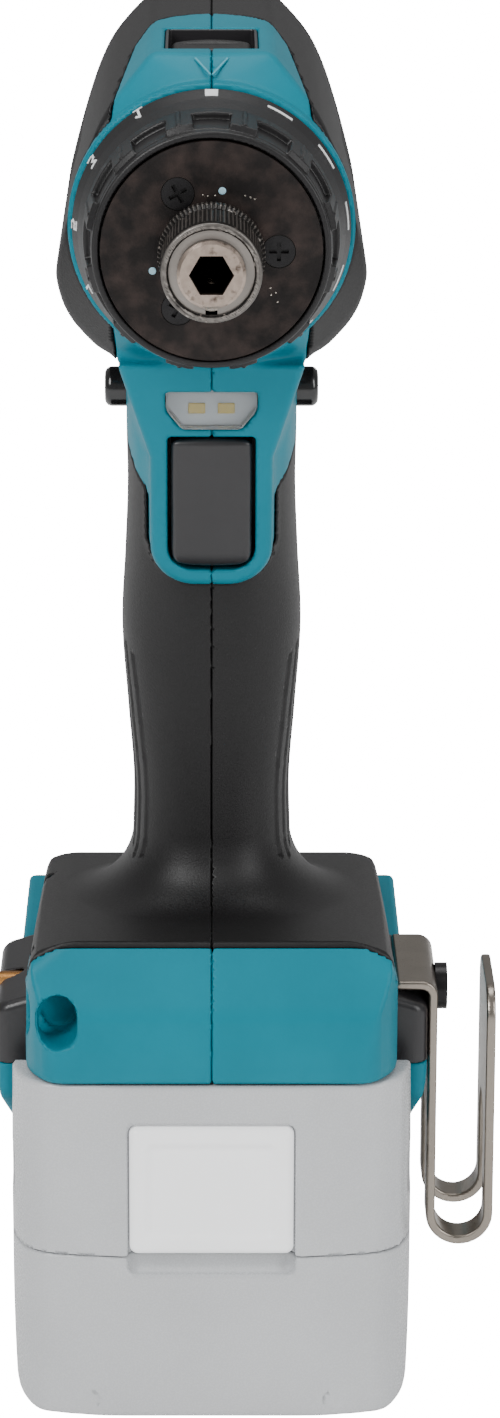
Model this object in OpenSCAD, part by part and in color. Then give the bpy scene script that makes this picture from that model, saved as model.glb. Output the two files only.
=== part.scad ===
// Cordless drill with a hex bit holder, a sliding battery pack and a belt hook.
// The origin is the centre of the pack's foot. The bit points along -Y and Z is up.

/* [Overall] */
// Height from the pack's foot to the top of the motor cover
height = 247; // [230:1:290]
// Length of the head, from the bit holder's tip to the rear of the motor cover
head_length = 134; // [128:1:160]
// Width across the two bosses on the tool's base
base_width = 79; // [76:1:92]

/* [Battery pack] */
// Width of the pack
pack_width = 75; // [73:1:82]
// Length of the pack, front to rear
pack_length = 113; // [104:1:130]
// Height of the pack's front block, where the tool's base begins
pack_height = 65; // [60:1:80]
// Height of the pack behind its front block, below the rails
pack_body_height = 48; // [45:1:52]
// Wall of the pack's case
pack_wall = 2.2; // [1.8:0.1:2.4]
// Diameter of one cell
cell_d = 18.3; // [17.6:0.1:18.5]
// Length of one cell
cell_length = 65; // [60:1:65]
// How far the pack slides to come off
pack_travel = 115; // [60:1:140]

/* [Head] */
// Radius of the bore that holds the motor and the gear case
barrel_r = 21.3; // [21:0.1:22]
// Radius of the torque ring's rear edge
ring_rear_r = 24; // [23.5:0.1:25]
// Radius of the torque ring's front edge
ring_front_r = 20.2; // [19.9:0.1:21]
// Length of the torque ring
ring_length = 20; // [18:0.5:21]
// Radius of the nose plate
plate_r = 18.7; // [18:0.1:18.8]
// How far the clutch nut travels over the torque ring's turn
nut_travel = 4; // [2:0.5:5]
// Turn of the torque ring from drilling to the lowest torque, in degrees
ring_turn = 326; // [180:1:340]

/* [Bit holder] */
// Width across the flats of the hex socket
hex_flats = 6.45; // [6.35:0.01:6.6]
// Depth of the hex socket
hex_depth = 22; // [16:0.5:24]
// Diameter of the steel tip
tip_d = 11.4; // [11:0.1:11.8]
// Diameter of the release sleeve at its front
sleeve_d = 17.2; // [17:0.1:18]
// How far the release sleeve pulls forward
sleeve_travel = 3.5; // [2:0.1:4]
// Diameter of a locking ball
ball_d = 3.5; // [3:0.1:3.6]

/* [Gears] */
// Pitch radius of the three ring gears
ring_pitch_r = 14.4; // [14:0.1:14.8]
// Backlash cut from each tooth flank
backlash = 0.12; // [0.08:0.01:0.2]
// Radius of the planet pins
pin_r = 1.2; // [1:0.05:1.4]
// Diameter of the output spindle in its bearings
spindle_d = 12; // [11.6:0.1:12.4]

/* [Motor] */
// Radius of the stator
stator_r = 20.8; // [20:0.1:20.8]
// Radius of the rotor
rotor_r = 11; // [9:0.1:12]
// Diameter of the rotor shaft
shaft_d = 5; // [4:0.1:6]
// Radius of the cooling fan
fan_r = 19.6; // [17:0.1:20]

/* [Grip and controls] */
// Fall of the base's top towards the rear, per unit of length
base_slope = 0.164; // [0.1:0.002:0.18]
// Half width of the neck below the head
neck_half = 15.3; // [14.5:0.1:17]
// Half width of the grip at its widest
grip_half = 16.6; // [15:0.1:18]
// Skin of soft rubber over the housing
skin = 1.6; // [1.2:0.1:1.8]
// Wall of the housing under the skin
wall = 2.4; // [2:0.1:2.6]
// Width of the trigger
trigger_w = 14.8; // [13:0.1:15.4]
// Height of the trigger
trigger_h = 26; // [22:0.5:28]
// How far the trigger pulls
trigger_travel = 6; // [3:0.5:7]
// Length of the direction lever across the neck
lever_length = 38.4; // [36:0.1:42]
// Height of the direction lever
lever_h = 7.2; // [6:0.1:7.6]
// How far the direction lever moves each way
lever_travel = 3; // [2:0.5:3]
// How far the speed selector slides
selector_travel = 6; // [5:0.5:6]

/* [Hook] */
// Thickness of the hook's strip
hook_t = 1.7; // [1.4:0.1:2]
// Width of the hook's strip
hook_w = 26; // [20:0.5:28]
// Gap between the hook's two legs
hook_gap = 9; // [8:0.5:14]
// Diameter of the accessory screws' thread
screw_d = 4; // [3.5:0.1:4.5]

/* [Clearances] */
// Gap between a moving piece and its guide
slide_gap = 0.35; // [0.3:0.05:0.5]
// Gap between a shaft and its bearing
run_gap = 0.05; // [0.03:0.01:0.09]
// Gap around a piece that is fixed inside the housing
fit_gap = 0.2; // [0.15:0.05:0.3]

/* [Hidden] */
$fn = 48;
hull_fn = 32;
eps = 0.01;

// Colours
teal = [0.0, 0.5, 0.58];
black = [0.1, 0.1, 0.11];
steel = [0.62, 0.62, 0.64];
dark_steel = [0.25, 0.24, 0.24];
pale = [0.78, 0.79, 0.8];
brass = [0.72, 0.6, 0.3];

// Heights
axis_z = height - 28.5;
base_z = pack_height + 0.4;
neck_top = axis_z - 28;
grip_low = base_z + 32;

// Stations along the head, from the tip at the front to the motor cover's rear
tip_y = -82.5;
rear_y = tip_y + head_length;
plate_front_y = tip_y + 19;
plate_t = 2.4;
ring_front_y = plate_front_y + 0.5;
ring_rear_y = ring_front_y + ring_length;
case_front_y = plate_front_y + plate_t;
head_front_y = ring_rear_y + slide_gap;
flange_y = head_front_y + 11;
stage_3_y = flange_y + 7.6;
stage_2_y = stage_3_y + 12.2;
stage_1_y = stage_2_y + 12.4;
case_rear_y = stage_1_y + 5.4;
bearing_front_y = case_rear_y + 3;
stator_y = bearing_front_y + 5.2;
bearing_rear_y = rear_y - 7.5;
fan_y = bearing_rear_y - 7;
stator_length = fan_y - stator_y - 3.2;

// Puts a piece on the spindle's axis: its own z runs to the rear and its -y is up
module on_axis(y) {
    translate([0, y, axis_z]) rotate([-90, 0, 0]) children();
}

// Tube or ring along z
module tube(r_out, r_in, length) {
    difference() {
        cylinder(r = r_out, h = length);
        translate([0, 0, -eps]) cylinder(r = r_in, h = length + 2 * eps);
    }
}

// Flat rectangle with round corners, centred
module round_rect(x, y, r) {
    union() {
        square([x - 2 * r, y], center = true);
        square([x, y - 2 * r], center = true);
        for (i = [-1, 1], j = [-1, 1])
            translate([i * (x / 2 - r), j * (y / 2 - r)]) circle(r = r);
    }
}

// Upright block with round corners between two heights and two Y faces
module round_block(x, y0, y1, z0, z1, r) {
    translate([0, (y0 + y1) / 2, z0]) linear_extrude(z1 - z0) round_rect(x, y1 - y0, r);
}

// Box given by its two corners
module box(a, b) {
    translate(a) cube(b - a);
}

// Screw along -z with its head's top at z = 0 and a cross recess
module cross_screw(head_r, head_h, shank_r, length) {
    difference() {
        union() {
            translate([0, 0, -head_h]) cylinder(r = head_r, h = head_h);
            translate([0, 0, -length]) cylinder(r = shank_r, h = length - head_h + eps);
        }
        for (a = [0, 90])
            rotate(a) translate([-head_r * 0.6, -0.35, -head_h * 0.7])
                cube([head_r * 1.2, 0.7, head_h]);
    }
}

// Involute gears: pressure angle, and addendum and dedendum as shares of the module
pressure = 25;
addendum = 0.8;
dedendum = 1.1;

function module_of(ring_teeth) = 2 * ring_pitch_r / ring_teeth;
function involute(a) = tan(a) * 180 / PI - a;

// Half the angle that a tooth of n teeth covers at radius r, widened by extra millimetres
function half_tooth(n, pitch_r, r, extra) =
    let (base_r = pitch_r * cos(pressure), a = acos(base_r / max(r, base_r)))
    90 / n + extra / pitch_r * 180 / PI + involute(pressure) - involute(a);

// Outline of a toothed wheel: each flank has four points between root and tip
function wheel_points(n, m, root_r, tip_r, extra) =
    let (pitch_r = n * m / 2, flank = [for (i = [0:3]) root_r + (tip_r - root_r) * i / 3])
    [for (t = [0:n - 1]) each concat(
        [for (i = [0:3]) let (a = t * 360 / n - half_tooth(n, pitch_r, flank[i], extra))
            flank[i] * [cos(a), sin(a)]],
        [for (i = [3:-1:0]) let (a = t * 360 / n + half_tooth(n, pitch_r, flank[i], extra))
            flank[i] * [cos(a), sin(a)]])];

// Spur gear with its first tooth on +x
module spur_gear(n, m, width) {
    pitch_r = n * m / 2;
    linear_extrude(width)
        polygon(wheel_points(n, m, pitch_r - dedendum * m, pitch_r + addendum * m, -backlash));
}

// Planet on its pin's bore, turned so that a gap faces the sun's tooth
module planet(n, m, width) {
    rotate(n % 2 == 0 ? 180 / n : 0)
        difference() {
            spur_gear(n, m, width);
            translate([0, 0, -eps]) cylinder(r = pin_r + 0.12, h = width + 2 * eps, $fn = 12);
        }
}

ring_gear_r = ring_pitch_r + 3.4;
ring_lug = 0.9;

// Ring gear with three lugs outside; a space or a tooth faces the planet on +x
module ring_gear(n, planet_teeth, width) {
    m = module_of(n);
    turn = planet_teeth % 2 == 0 ? 180 / n : 0;
    linear_extrude(width)
        difference() {
            polygon([for (i = [0:59]) ring_gear_r * [cos(i * 6), sin(i * 6)]]);
            rotate(turn)
                polygon(wheel_points(n, m, ring_pitch_r - addendum * m,
                                     ring_pitch_r + dedendum * m, backlash));
        }
}

// Disc with three planet pins behind it
module pinned_disc(r, thick, centre_r, pin_length) {
    cylinder(r = r, h = thick, $fn = 48);
    for (k = [0:2])
        rotate(k * 120) translate([centre_r, 0, thick - eps])
            cylinder(r = pin_r, h = pin_length + eps, $fn = 12);
}

// Teeth of sun, planet and ring in each stage, from the motor outwards
stage_1 = [12, 18, 48];
stage_2 = [15, 15, 45];
stage_3 = [18, 12, 42];
function centre_of(s) = (s[0] + s[1]) * module_of(s[2]) / 2;

planet_1_w = 5;
planet_2_w = 6;
planet_3_w = 8.4;
disc_gap = 0.4;
carrier_1_t = 2.2;
carrier_2_t = 2.3;
output_t = 2.8;
bearing_w = 5;
bearing_r = spindle_d / 2 + 4.5;
bush_r = spindle_d / 2 + 2;
nose_r = 14;
ring_inner_r = 19;

module planet_of(s, y, width, k) {
    color(steel) on_axis(y) rotate(k * 120) translate([centre_of(s), 0, 0])
        planet(s[1], module_of(s[2]), width);
}
module planets_1a() { planet_of(stage_1, stage_1_y, planet_1_w, 0); }
module planets_1b() { planet_of(stage_1, stage_1_y, planet_1_w, 1); }
module planets_1c() { planet_of(stage_1, stage_1_y, planet_1_w, 2); }
module planets_2a() { planet_of(stage_2, stage_2_y, planet_2_w, 0); }
module planets_2b() { planet_of(stage_2, stage_2_y, planet_2_w, 1); }
module planets_2c() { planet_of(stage_2, stage_2_y, planet_2_w, 2); }
module planets_3a() { planet_of(stage_3, stage_3_y + 0.2, planet_3_w, 0); }
module planets_3b() { planet_of(stage_3, stage_3_y + 0.2, planet_3_w, 1); }
module planets_3c() { planet_of(stage_3, stage_3_y + 0.2, planet_3_w, 2); }

module ring_gear_1() {
    color(steel) on_axis(stage_1_y + 0.4) ring_gear(stage_1[2], stage_1[1], planet_1_w - 0.2);
}
module ring_gear_2() {
    color(steel) on_axis(stage_2_y - 0.3)
        ring_gear(stage_2[2], stage_2[1], planet_2_w + 0.7);
}
module ring_gear_3() {
    color(steel) on_axis(stage_3_y) ring_gear(stage_3[2], stage_3[1], planet_3_w + 0.6);
}

// First carrier, with the second stage's sun in front of it
module carrier_1() {
    sun_length = stage_1_y - disc_gap - carrier_1_t - stage_2_y;
    color(steel) on_axis(stage_1_y - disc_gap - carrier_1_t) {
        pinned_disc(ring_pitch_r - 1.6, carrier_1_t, centre_of(stage_1),
                    planet_1_w + disc_gap);
        translate([0, 0, -sun_length])
            spur_gear(stage_2[0], module_of(stage_2[2]), sun_length + eps);
    }
}

// Second carrier, with the third stage's sun in front of it
module carrier_2() {
    plate_y = stage_2_y - 0.5 - carrier_2_t;
    sun_length = plate_y - stage_3_y - 0.5;
    color(steel) on_axis(plate_y) {
        pinned_disc(ring_pitch_r - 1.2, carrier_2_t, centre_of(stage_2), planet_2_w + 0.6);
        translate([0, 0, -sun_length])
            spur_gear(stage_3[0], module_of(stage_3[2]), sun_length + eps);
    }
}

sleeve_front_y = tip_y + 1.5;
sleeve_rear_y = plate_front_y - 2.5;
ball_y = sleeve_rear_y - 6;
ball_reach = tip_d / 2 + 0.05 - ball_d / 2;
retainer_y = tip_y + 2.3;
retainer_w = 1;
groove_r = tip_d / 2 - 0.5;

// Output spindle: hex socket, ball holes, ring groove, bearing seat and the last carrier
module spindle() {
    plate_y = stage_3_y - disc_gap - output_t;
    color(steel) difference() {
        union() {
            on_axis(tip_y) cylinder(r1 = tip_d / 2 - 0.5, r2 = tip_d / 2, h = 0.5);
            on_axis(tip_y + 0.5) cylinder(r = tip_d / 2, h = plate_front_y - tip_y - 0.5);
            on_axis(plate_front_y) cylinder(r = spindle_d / 2, h = plate_y - plate_front_y + eps);
            on_axis(plate_y)
                pinned_disc(ring_pitch_r, output_t, centre_of(stage_3),
                            planet_3_w + disc_gap + 0.4);
        }
        on_axis(tip_y - eps)
            cylinder(r = hex_flats / 2 / cos(30), h = hex_depth, $fn = 6);
        for (a = [90, -90])
            on_axis(ball_y) rotate(a) rotate([0, 90, 0])
                cylinder(r = ball_d / 2 + run_gap, h = tip_d / 2 + 1);
        on_axis(retainer_y) tube(tip_d / 2 + 1, groove_r, retainer_w);
    }
}

// Split ring in the spindle's groove, which stops the release sleeve
module bit_retainer() {
    color(dark_steel) on_axis(retainer_y + 0.05) difference() {
        tube(tip_d / 2 + 1.5, groove_r, retainer_w - 0.1);
        translate([-1, 0, -eps]) cube([2, tip_d, retainer_w]);
    }
}

module chuck_balls() {
    color(steel) for (a = [90, -90])
        on_axis(ball_y) rotate(a) translate([ball_reach, 0, 0]) sphere(r = ball_d / 2);
}

// Release sleeve: a land over the balls, a recess behind it and the spring's room in front
module chuck_sleeve() {
    length = sleeve_rear_y - sleeve_front_y;
    r = sleeve_d / 2;
    land_r = tip_d / 2 + 0.1;
    room_r = tip_d / 2 + 1.75;
    land = [ball_y - ball_d / 2 - 0.2 - sleeve_front_y, ball_y + ball_d / 2 - sleeve_front_y];
    color(black) on_axis(sleeve_front_y) rotate_extrude()
        polygon([[room_r, 0], [r - 0.6, 0], [r, 0.6], [r, length - 3], [r + 0.6, length - 2],
                 [r + 0.6, length], [room_r, length], [room_r, land[1]], [land_r, land[1]],
                 [land_r, land[0]], [room_r, land[0]]]);
}

// Wire wound round z, with flat loops of points swept along a helix
module coil_spring(coil_r, wire_r, length, turns, sides, steps) {
    count = turns * steps;
    rise = length - 2 * wire_r;
    points = [for (i = [0:count], j = [0:sides - 1])
        let (a = i * 360 / steps, b = j * 360 / sides, r = coil_r + wire_r * cos(b))
        [r * cos(a), r * sin(a), wire_r + rise * i / count + wire_r * sin(b)]];
    sides_faces = [for (i = [0:count - 1], j = [0:sides - 1])
        let (a = i * sides + j, b = i * sides + (j + 1) % sides)
        [a, a + sides, b + sides, b]];
    polyhedron(points, concat([[for (j = [0:sides - 1]) j]], sides_faces,
                              [[for (j = [sides - 1:-1:0]) count * sides + j]]));
}

module sleeve_spring() {
    start = retainer_y + retainer_w + 0.05;
    length = ball_y - ball_d / 2 - 0.25 - start;
    color(steel) on_axis(start) coil_spring(tip_d / 2 + 0.9, 0.45, length, 4, 6, 16);
}

// Radial ball bearing as one piece with a groove on each face
module bearing(r_out, r_in, width) {
    mid = (r_out + r_in) / 2;
    difference() {
        tube(r_out, r_in, width);
        for (z = [-eps, width - 0.4])
            translate([0, 0, z]) tube(mid + 0.8, mid - 0.8, 0.4 + eps);
    }
}

module spindle_bearing() {
    color(steel) on_axis(flange_y - bearing_w - 1) bearing(bearing_r, spindle_d / 2 + run_gap, bearing_w);
}
module spindle_bush() {
    color(brass) on_axis(case_front_y + 1) tube(bush_r, spindle_d / 2 + run_gap, 8);
}

screw_ring_r = 11.3;
screw_angles = [0, 120, 240];
screw_core_r = 1.2;
nose_screw_head_r = 2.75;

module at_nose_screws() {
    for (a = screw_angles) rotate(-a) translate([screw_ring_r, 0, 0]) children();
}

// Gear case: a nose with the bush and bearing, a flange, and a cup for the gears
module gear_case() {
    nose = flange_y - case_front_y;
    flange_t = 4;
    cup = case_rear_y - flange_y;
    cup_r = barrel_r - fit_gap - 0.1;
    color(dark_steel) on_axis(case_front_y) difference() {
        union() {
            cylinder(r = nose_r, h = nose + eps);
            translate([0, 0, nose]) cylinder(r = cup_r, h = cup);
        }
        translate([0, 0, -eps]) cylinder(r = bush_r, h = nose);
        translate([0, 0, nose - bearing_w - 1]) cylinder(r = bearing_r, h = nose);
        translate([0, 0, nose + flange_t]) cylinder(r = ring_gear_r + 0.1, h = cup);
        at_nose_screws() translate([0, 0, -eps]) cylinder(r = screw_core_r, h = 10);
        translate([-4, -cup_r - 1, stage_2_y - 0.5 - case_front_y])
            cube([8, 6, planet_2_w + selector_travel + 1.2]);
    }
}

module gear_case_cover() {
    color(steel) on_axis(case_rear_y) tube(barrel_r - fit_gap - 0.1, 4.9, 2);
}

// Plate on the nose that keeps the torque ring on
module nose_plate() {
    color(dark_steel) on_axis(plate_front_y) difference() {
        tube(plate_r, spindle_d / 2 + 0.6, plate_t);
        at_nose_screws() {
            translate([0, 0, -eps]) cylinder(r = screw_core_r, h = plate_t + 1);
            translate([0, 0, -eps]) cylinder(r = nose_screw_head_r + 0.1, h = 1.4 + eps);
        }
    }
}
module nose_screws() {
    color(black) on_axis(plate_front_y + 0.1) at_nose_screws()
        rotate([180, 0, 0]) cross_screw(nose_screw_head_r, 1.3, screw_core_r, 10);
}

nut_w = 5;
nut_y = flange_y - 23.5;
key_r = 16.9;
key_w = 4;
nut_r = ring_inner_r - 0.4;

// Nut on the nose's thread: the torque ring's keys turn it and it presses the spring
module clutch_nut() {
    color(black) on_axis(nut_y) difference() {
        tube(nut_r, nose_r + 0.15, nut_w);
        for (a = [0, 180])
            rotate(a) translate([key_r - 0.4, -key_w / 2 - slide_gap, -eps])
                cube([5, key_w + 2 * slide_gap, nut_w + 2 * eps]);
    }
}
module clutch_spring() {
    color(steel) on_axis(nut_y + nut_w + 0.02)
        coil_spring(nose_r + 1.4, 0.9, flange_y - nut_y - nut_w - 0.04, 5, 8, 20);
}

grips = 12;
lip_r = key_r - 0.3;

// Torque ring: a tapered shell with grip recesses, a lip behind the nose plate and two keys
module torque_ring() {
    l = ring_length;
    lip = case_front_y - ring_front_y + 0.2;
    band = l * 0.66;
    r0 = ring_front_r;
    r1 = ring_front_r + 1.5;
    r2 = ring_rear_r;
    color(black) on_axis(ring_front_y) union() {
        difference() {
            rotate_extrude()
                polygon([[ring_inner_r, 0], [r0 - 0.5, 0], [r0, 0.6], [r1, band], [r2, l - 0.8],
                         [r2, l], [ring_inner_r, l], [ring_inner_r, lip + 1], [lip_r, lip + 1],
                         [lip_r, lip], [ring_inner_r, lip]]);
            for (k = [0:grips - 1])
                rotate((k + 0.5) * 360 / grips) translate([r0 + 0.55, -3.2, 2.2])
                    cube([6, 6.4, band - 5]);
            translate([0, 0, mark_at]) for (k = [0:11]) ring_mark(k, 0.02);
        }
        for (a = [0, 180])
            rotate(a) translate([key_r, -key_w / 2, lip + 0.5])
                cube([ring_inner_r - key_r + 0.4, key_w, l - lip - 3]);
    }
}

// White marks let into the ring's rear band: the wide one is the drilling mark
mark_at = ring_length - 1;
module ring_mark(k, gap) {
    w = k == 0 ? 3 : 0.8;
    rotate(k * 30 - 90) translate([ring_rear_r - 0.3, -w / 2, -3])
        rotate([0, -18, 0]) translate([-gap, -gap, -gap])
            cube([0.8 + 2 * gap, w + 2 * gap, 2.6 + 2 * gap]);
}
module ring_marks() {
    color("white") on_axis(ring_front_y + mark_at)
        for (k = [0:11]) ring_mark(k, 0);
}

// Brushless motor
slots = 6;
slot_tooth_w = 5;
air_gap = 0.5;
coil_out = 1.6;

module stator_core() {
    color(dark_steel) on_axis(stator_y) linear_extrude(stator_length) {
        difference() {
            circle(r = stator_r);
            circle(r = stator_r - 3.3);
        }
        for (k = [0:slots - 1]) rotate(k * 360 / slots) {
            translate([rotor_r + 1.2, -slot_tooth_w / 2])
                square([stator_r - rotor_r - 3, slot_tooth_w]);
            intersection() {
                difference() {
                    circle(r = rotor_r + 2);
                    circle(r = rotor_r + air_gap);
                }
                polygon([[0, 0], [20, -8.6], [20, 8.6]]);
            }
        }
    }
}
module stator_coils() {
    inner = rotor_r + 2.2;
    side = 1.5;
    outer = sqrt(pow(stator_r - 3.4, 2) - pow(slot_tooth_w / 2 + side, 2));
    color([0.72, 0.38, 0.2]) on_axis(stator_y - coil_out)
        for (k = [0:slots - 1]) rotate(k * 360 / slots) difference() {
            translate([inner, -slot_tooth_w / 2 - side, 0])
                cube([outer - inner, slot_tooth_w + 2 * side, stator_length + 2 * coil_out]);
            translate([inner - 1, -slot_tooth_w / 2 - 0.05, coil_out - 0.05])
                cube([outer - inner + 2, slot_tooth_w + 0.1, stator_length + 0.1]);
        }
}
module sensor_board() {
    color([0.05, 0.3, 0.15]) on_axis(stator_y + stator_length + coil_out + 0.3)
        tube(stator_r - 2, shaft_d / 2 + 3, 0.8);
}

front_bearing_r = 8;
rear_bearing_r = 7;
rear_bearing_w = 4.5;

module motor_bearings() {
    color(steel) {
        on_axis(bearing_front_y) bearing(front_bearing_r, shaft_d / 2 + run_gap, bearing_w);
        on_axis(bearing_rear_y) bearing(rear_bearing_r, shaft_d / 2 + run_gap, rear_bearing_w);
    }
}

magnets = 4;
magnet_w = 10;
magnet_t = 2;

// Shaft with the first sun and the rotor's laminations, slotted for the magnets
module rotor_shaft() {
    sun_y = stage_1_y + 0.6;
    sun_length = case_rear_y + 1 - sun_y;
    color(steel) {
        on_axis(sun_y) spur_gear(stage_1[0], module_of(stage_1[2]), sun_length);
        on_axis(sun_y + sun_length - eps)
            cylinder(r = shaft_d / 2, h = bearing_rear_y + rear_bearing_w - sun_y - sun_length);
        on_axis(stator_y) difference() {
            cylinder(r = rotor_r, h = stator_length);
            for (k = [0:magnets - 1]) rotate(k * 90)
                translate([rotor_r - 4.2, -magnet_w / 2, -eps])
                    cube([magnet_t, magnet_w, stator_length + 2 * eps]);
        }
    }
}
module rotor_magnets() {
    color(dark_steel) on_axis(stator_y)
        for (k = [0:magnets - 1]) rotate(k * 90)
            translate([rotor_r - 4.15, -magnet_w / 2 + 0.05, 0.1])
                cube([magnet_t - 0.1, magnet_w - 0.1, stator_length - 0.2]);
}
module fan() {
    blades = 11;
    blade_h = 4.4;
    color(black) on_axis(fan_y) {
        tube(fan_r, shaft_d / 2, 1.2);
        tube(shaft_d / 2 + 3, shaft_d / 2, blade_h + 1.2);
        for (k = [0:blades - 1])
            rotate(k * 360 / blades) translate([shaft_d / 2 + 2.5, 0, 1.2 - eps])
                rotate(12) cube([fan_r - shaft_d / 2 - 3.6, 1, blade_h]);
    }
}

// Housing: the outer shape is a stack of round-cornered slices and the head's own section
function power(v, e) = sign(v) * pow(abs(v), e);
function slice_points(hx, hy, p) =
    [for (a = [0:360 / 28:359]) [hx * power(cos(a), 2 / p), hy * power(sin(a), 2 / p)]];

grip_step = (axis_z - 53.5 - base_z - 37) / 4;
base_half = base_width / 2 - 5.5;
base_front_y = -pack_length / 2;
base_rear_y = pack_length / 2 - 7;
base_mid = (base_front_y + base_rear_y) / 2;
base_deep = (base_rear_y - base_front_y) / 2;
base_top = 16.2;

// Height at Y 0, middle Y, half width, half depth, squareness and fall to the rear of each slice
levels = [
    [base_z, base_mid, base_half + 0.5, base_deep, 6, 0],
    [base_z + base_top - 6, base_mid + 0.6, base_half, base_deep - 2.4, 5, 0.55 * base_slope],
    [base_z + base_top, base_mid + 1.2, base_half - 4.5, base_deep - 7, 4, base_slope],
    [base_z + base_top + 7.8, 4, grip_half + 2.6, 30, 3, 0.8 * base_slope],
    [base_z + 37, 6, grip_half - 1.6, 23, 2.6, 0],
    [base_z + 37 + grip_step, 5, grip_half - 1, 20, 2.6, 0],
    [base_z + 37 + 2 * grip_step, 3.5, grip_half, 19.8, 2.6, 0],
    [base_z + 37 + 3 * grip_step, 0.5, grip_half - 0.8, 21, 2.6, 0],
    [base_z + 37 + 4 * grip_step, -4, neck_half, 22.5, 3, 0],
    [axis_z - 31, -8, neck_half, 29, 3.5, 0],
    [axis_z - 20, -8, neck_half + 1, 30, 3.5, 0]
];

// Half of the head's section at its largest, as X and height over the axis, from the top down
head_side = [
    [0, 28.4], [11, 28.4], [13.5, 25.2], [16.6, 22.1], [19.7, 17.2], [22.4, 11], [24.2, 5],
    [26, -2], [27.4, -8], [27.3, -13], [25.2, -19], [20.5, -24.5], [13, -27.6], [0, -28.4]
];

function grip_ring(level, inset) =
    [for (p = slice_points(level[2] - inset, level[3] - inset, level[4]))
        [p[0], p[1] + level[1], level[0] - level[5] * (p[1] + level[1])]];

// Head section at one Y: mix runs from the round front to the full section
function head_ring(y, scale_by, mix, inset) =
    let (front = ring_rear_r + 0.3,
         side = [for (p = head_side)
             let (q = norm(p), r = q * scale_by * mix + front * (1 - mix) - inset) p / q * r],
         n = len(side))
    [for (p = concat(side, [for (i = [n - 2:-1:1]) [-side[i][0], side[i][1]]]))
        [p[0], y, axis_z + p[1]]];

// Solid between two rings of points
module between(a, b) {
    n = len(a);
    hull() polyhedron(concat(a, b), concat([[for (j = [0:n - 1]) j]],
        [for (j = [0:n - 1]) [j, n + j, n + (j + 1) % n, (j + 1) % n]],
        [[for (j = [n - 1:-1:0]) n + j]]));
}

module body_shape(inset) {
    for (i = [0:len(levels) - 2])
        between(grip_ring(levels[i], inset), grip_ring(levels[i + 1], inset));
    head = [[head_front_y, 1, 0], [head_front_y + 9, 0.97, 1], [0, 1, 1],
            [rear_y - 12, 0.98, 1], [rear_y - 3, 0.88, 1], [rear_y - inset * 1.2, 0.78, 1]];
    for (i = [0:len(head) - 2])
        between(head_ring(head[i][0], head[i][1], head[i][2], inset),
                head_ring(head[i + 1][0], head[i + 1][1], head[i + 1][2], inset));
}

trigger_top = axis_z - 39.5;
trigger_bottom = trigger_top - trigger_h;
frame_half = trigger_w / 2 + 4.1;

// Extrudes a YZ outline across X, centred
module across(width) {
    rotate([90, 0, 90]) linear_extrude(width, center = true) children();
}

// Raised frame round the trigger and the lamp
module trigger_frame() {
    across(2 * frame_half)
        polygon([[-10, trigger_bottom - 3.4], [-23, trigger_bottom - 3.4],
                 [-26.5, trigger_bottom], [-34.5, trigger_top], [-38.5, axis_z - 31],
                 [-38.5, axis_z - 26], [-10, axis_z - 26]]);
}

boss_half = base_width / 2;
boss_y = [-38, -3];
boss_z = [pack_body_height + slide_gap, base_z + 9.9];
skirt_y = [-41, 47];
skirt_x = [27.4, 36.2];
lip_z = [52.6, 56];
lip_x = 22.6;
insert_r = 2.7;
insert_length = 10;
hook_y = -22;
screw_z = base_z + 6.2;

// Side skirt with its bearing boss and the lip that runs in the pack's groove
module side_rail() {
    box([skirt_x[0], skirt_y[0], pack_body_height + 0.4], [skirt_x[1], skirt_y[1], base_z + 3]);
    box([lip_x, skirt_y[0] + 2, lip_z[0]], [skirt_x[0] + eps, skirt_y[1] - 2, lip_z[1]]);
    translate([0, 0, boss_z[0]]) linear_extrude(boss_z[1] - boss_z[0])
        polygon([[skirt_x[1] - 8, boss_y[0]], [boss_half - 2, boss_y[0]],
                 [boss_half, boss_y[0] + 3], [boss_half, boss_y[1] - 3],
                 [boss_half - 2, boss_y[1]], [skirt_x[1] - 8, boss_y[1]]]);
}

cover_y = -2;
function border_z(y) = base_z + base_top - 0.7 - base_slope * y;

// Where soft rubber covers the housing
module soft_zone() {
    difference() {
        across(200)
            polygon([[cover_y, height + 20], [cover_y, axis_z - 24], [-9, axis_z - 34],
                     [-22, axis_z - 46], [-60, axis_z - 58], [-60, border_z(-60)],
                     [80, border_z(80)], [80, height + 20]]);
        translate([0, -0.6, 0]) trigger_frame();
    }
}

lever_y = -12;
lever_z = axis_z - 35.5;
selector_slot = [head_front_y + 14.6, head_front_y + 34.6];
selector_half = 7.5;
lamp_z = axis_z - 33.9;
lamp_half = [5, 8];
lamp_h = 7;

module lamp_outline(grow) {
    polygon([[-lamp_half[0] - grow, -lamp_h / 2 - grow], [lamp_half[0] + grow, -lamp_h / 2 - grow],
             [lamp_half[1] + grow, 0], [lamp_half[1] + grow, lamp_h / 2 + grow],
             [-lamp_half[1] - grow, lamp_h / 2 + grow], [-lamp_half[1] - grow, 0]]);
}

lanyard_r = 3.7;
lanyard = [-(base_half - 6.5), base_front_y + 10.5, base_z + 11];

// Y and Z of each housing screw, and the X of its head's face
screws = [
    [12, base_z + 37 + grip_step, -11.5], [-27, axis_z - 25.4, -11.5], [30, axis_z - 24.9, -14],
    [-39, base_z + 16.5, -23], [24, base_z + 8.2, -26]
];
screw_shank_r = 1.4;
screw_head_r = 2.9;
screw_length = 21;

module along_x(y, z, x) {
    translate([x, y, z]) rotate([0, 90, 0]) children();
}

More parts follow.
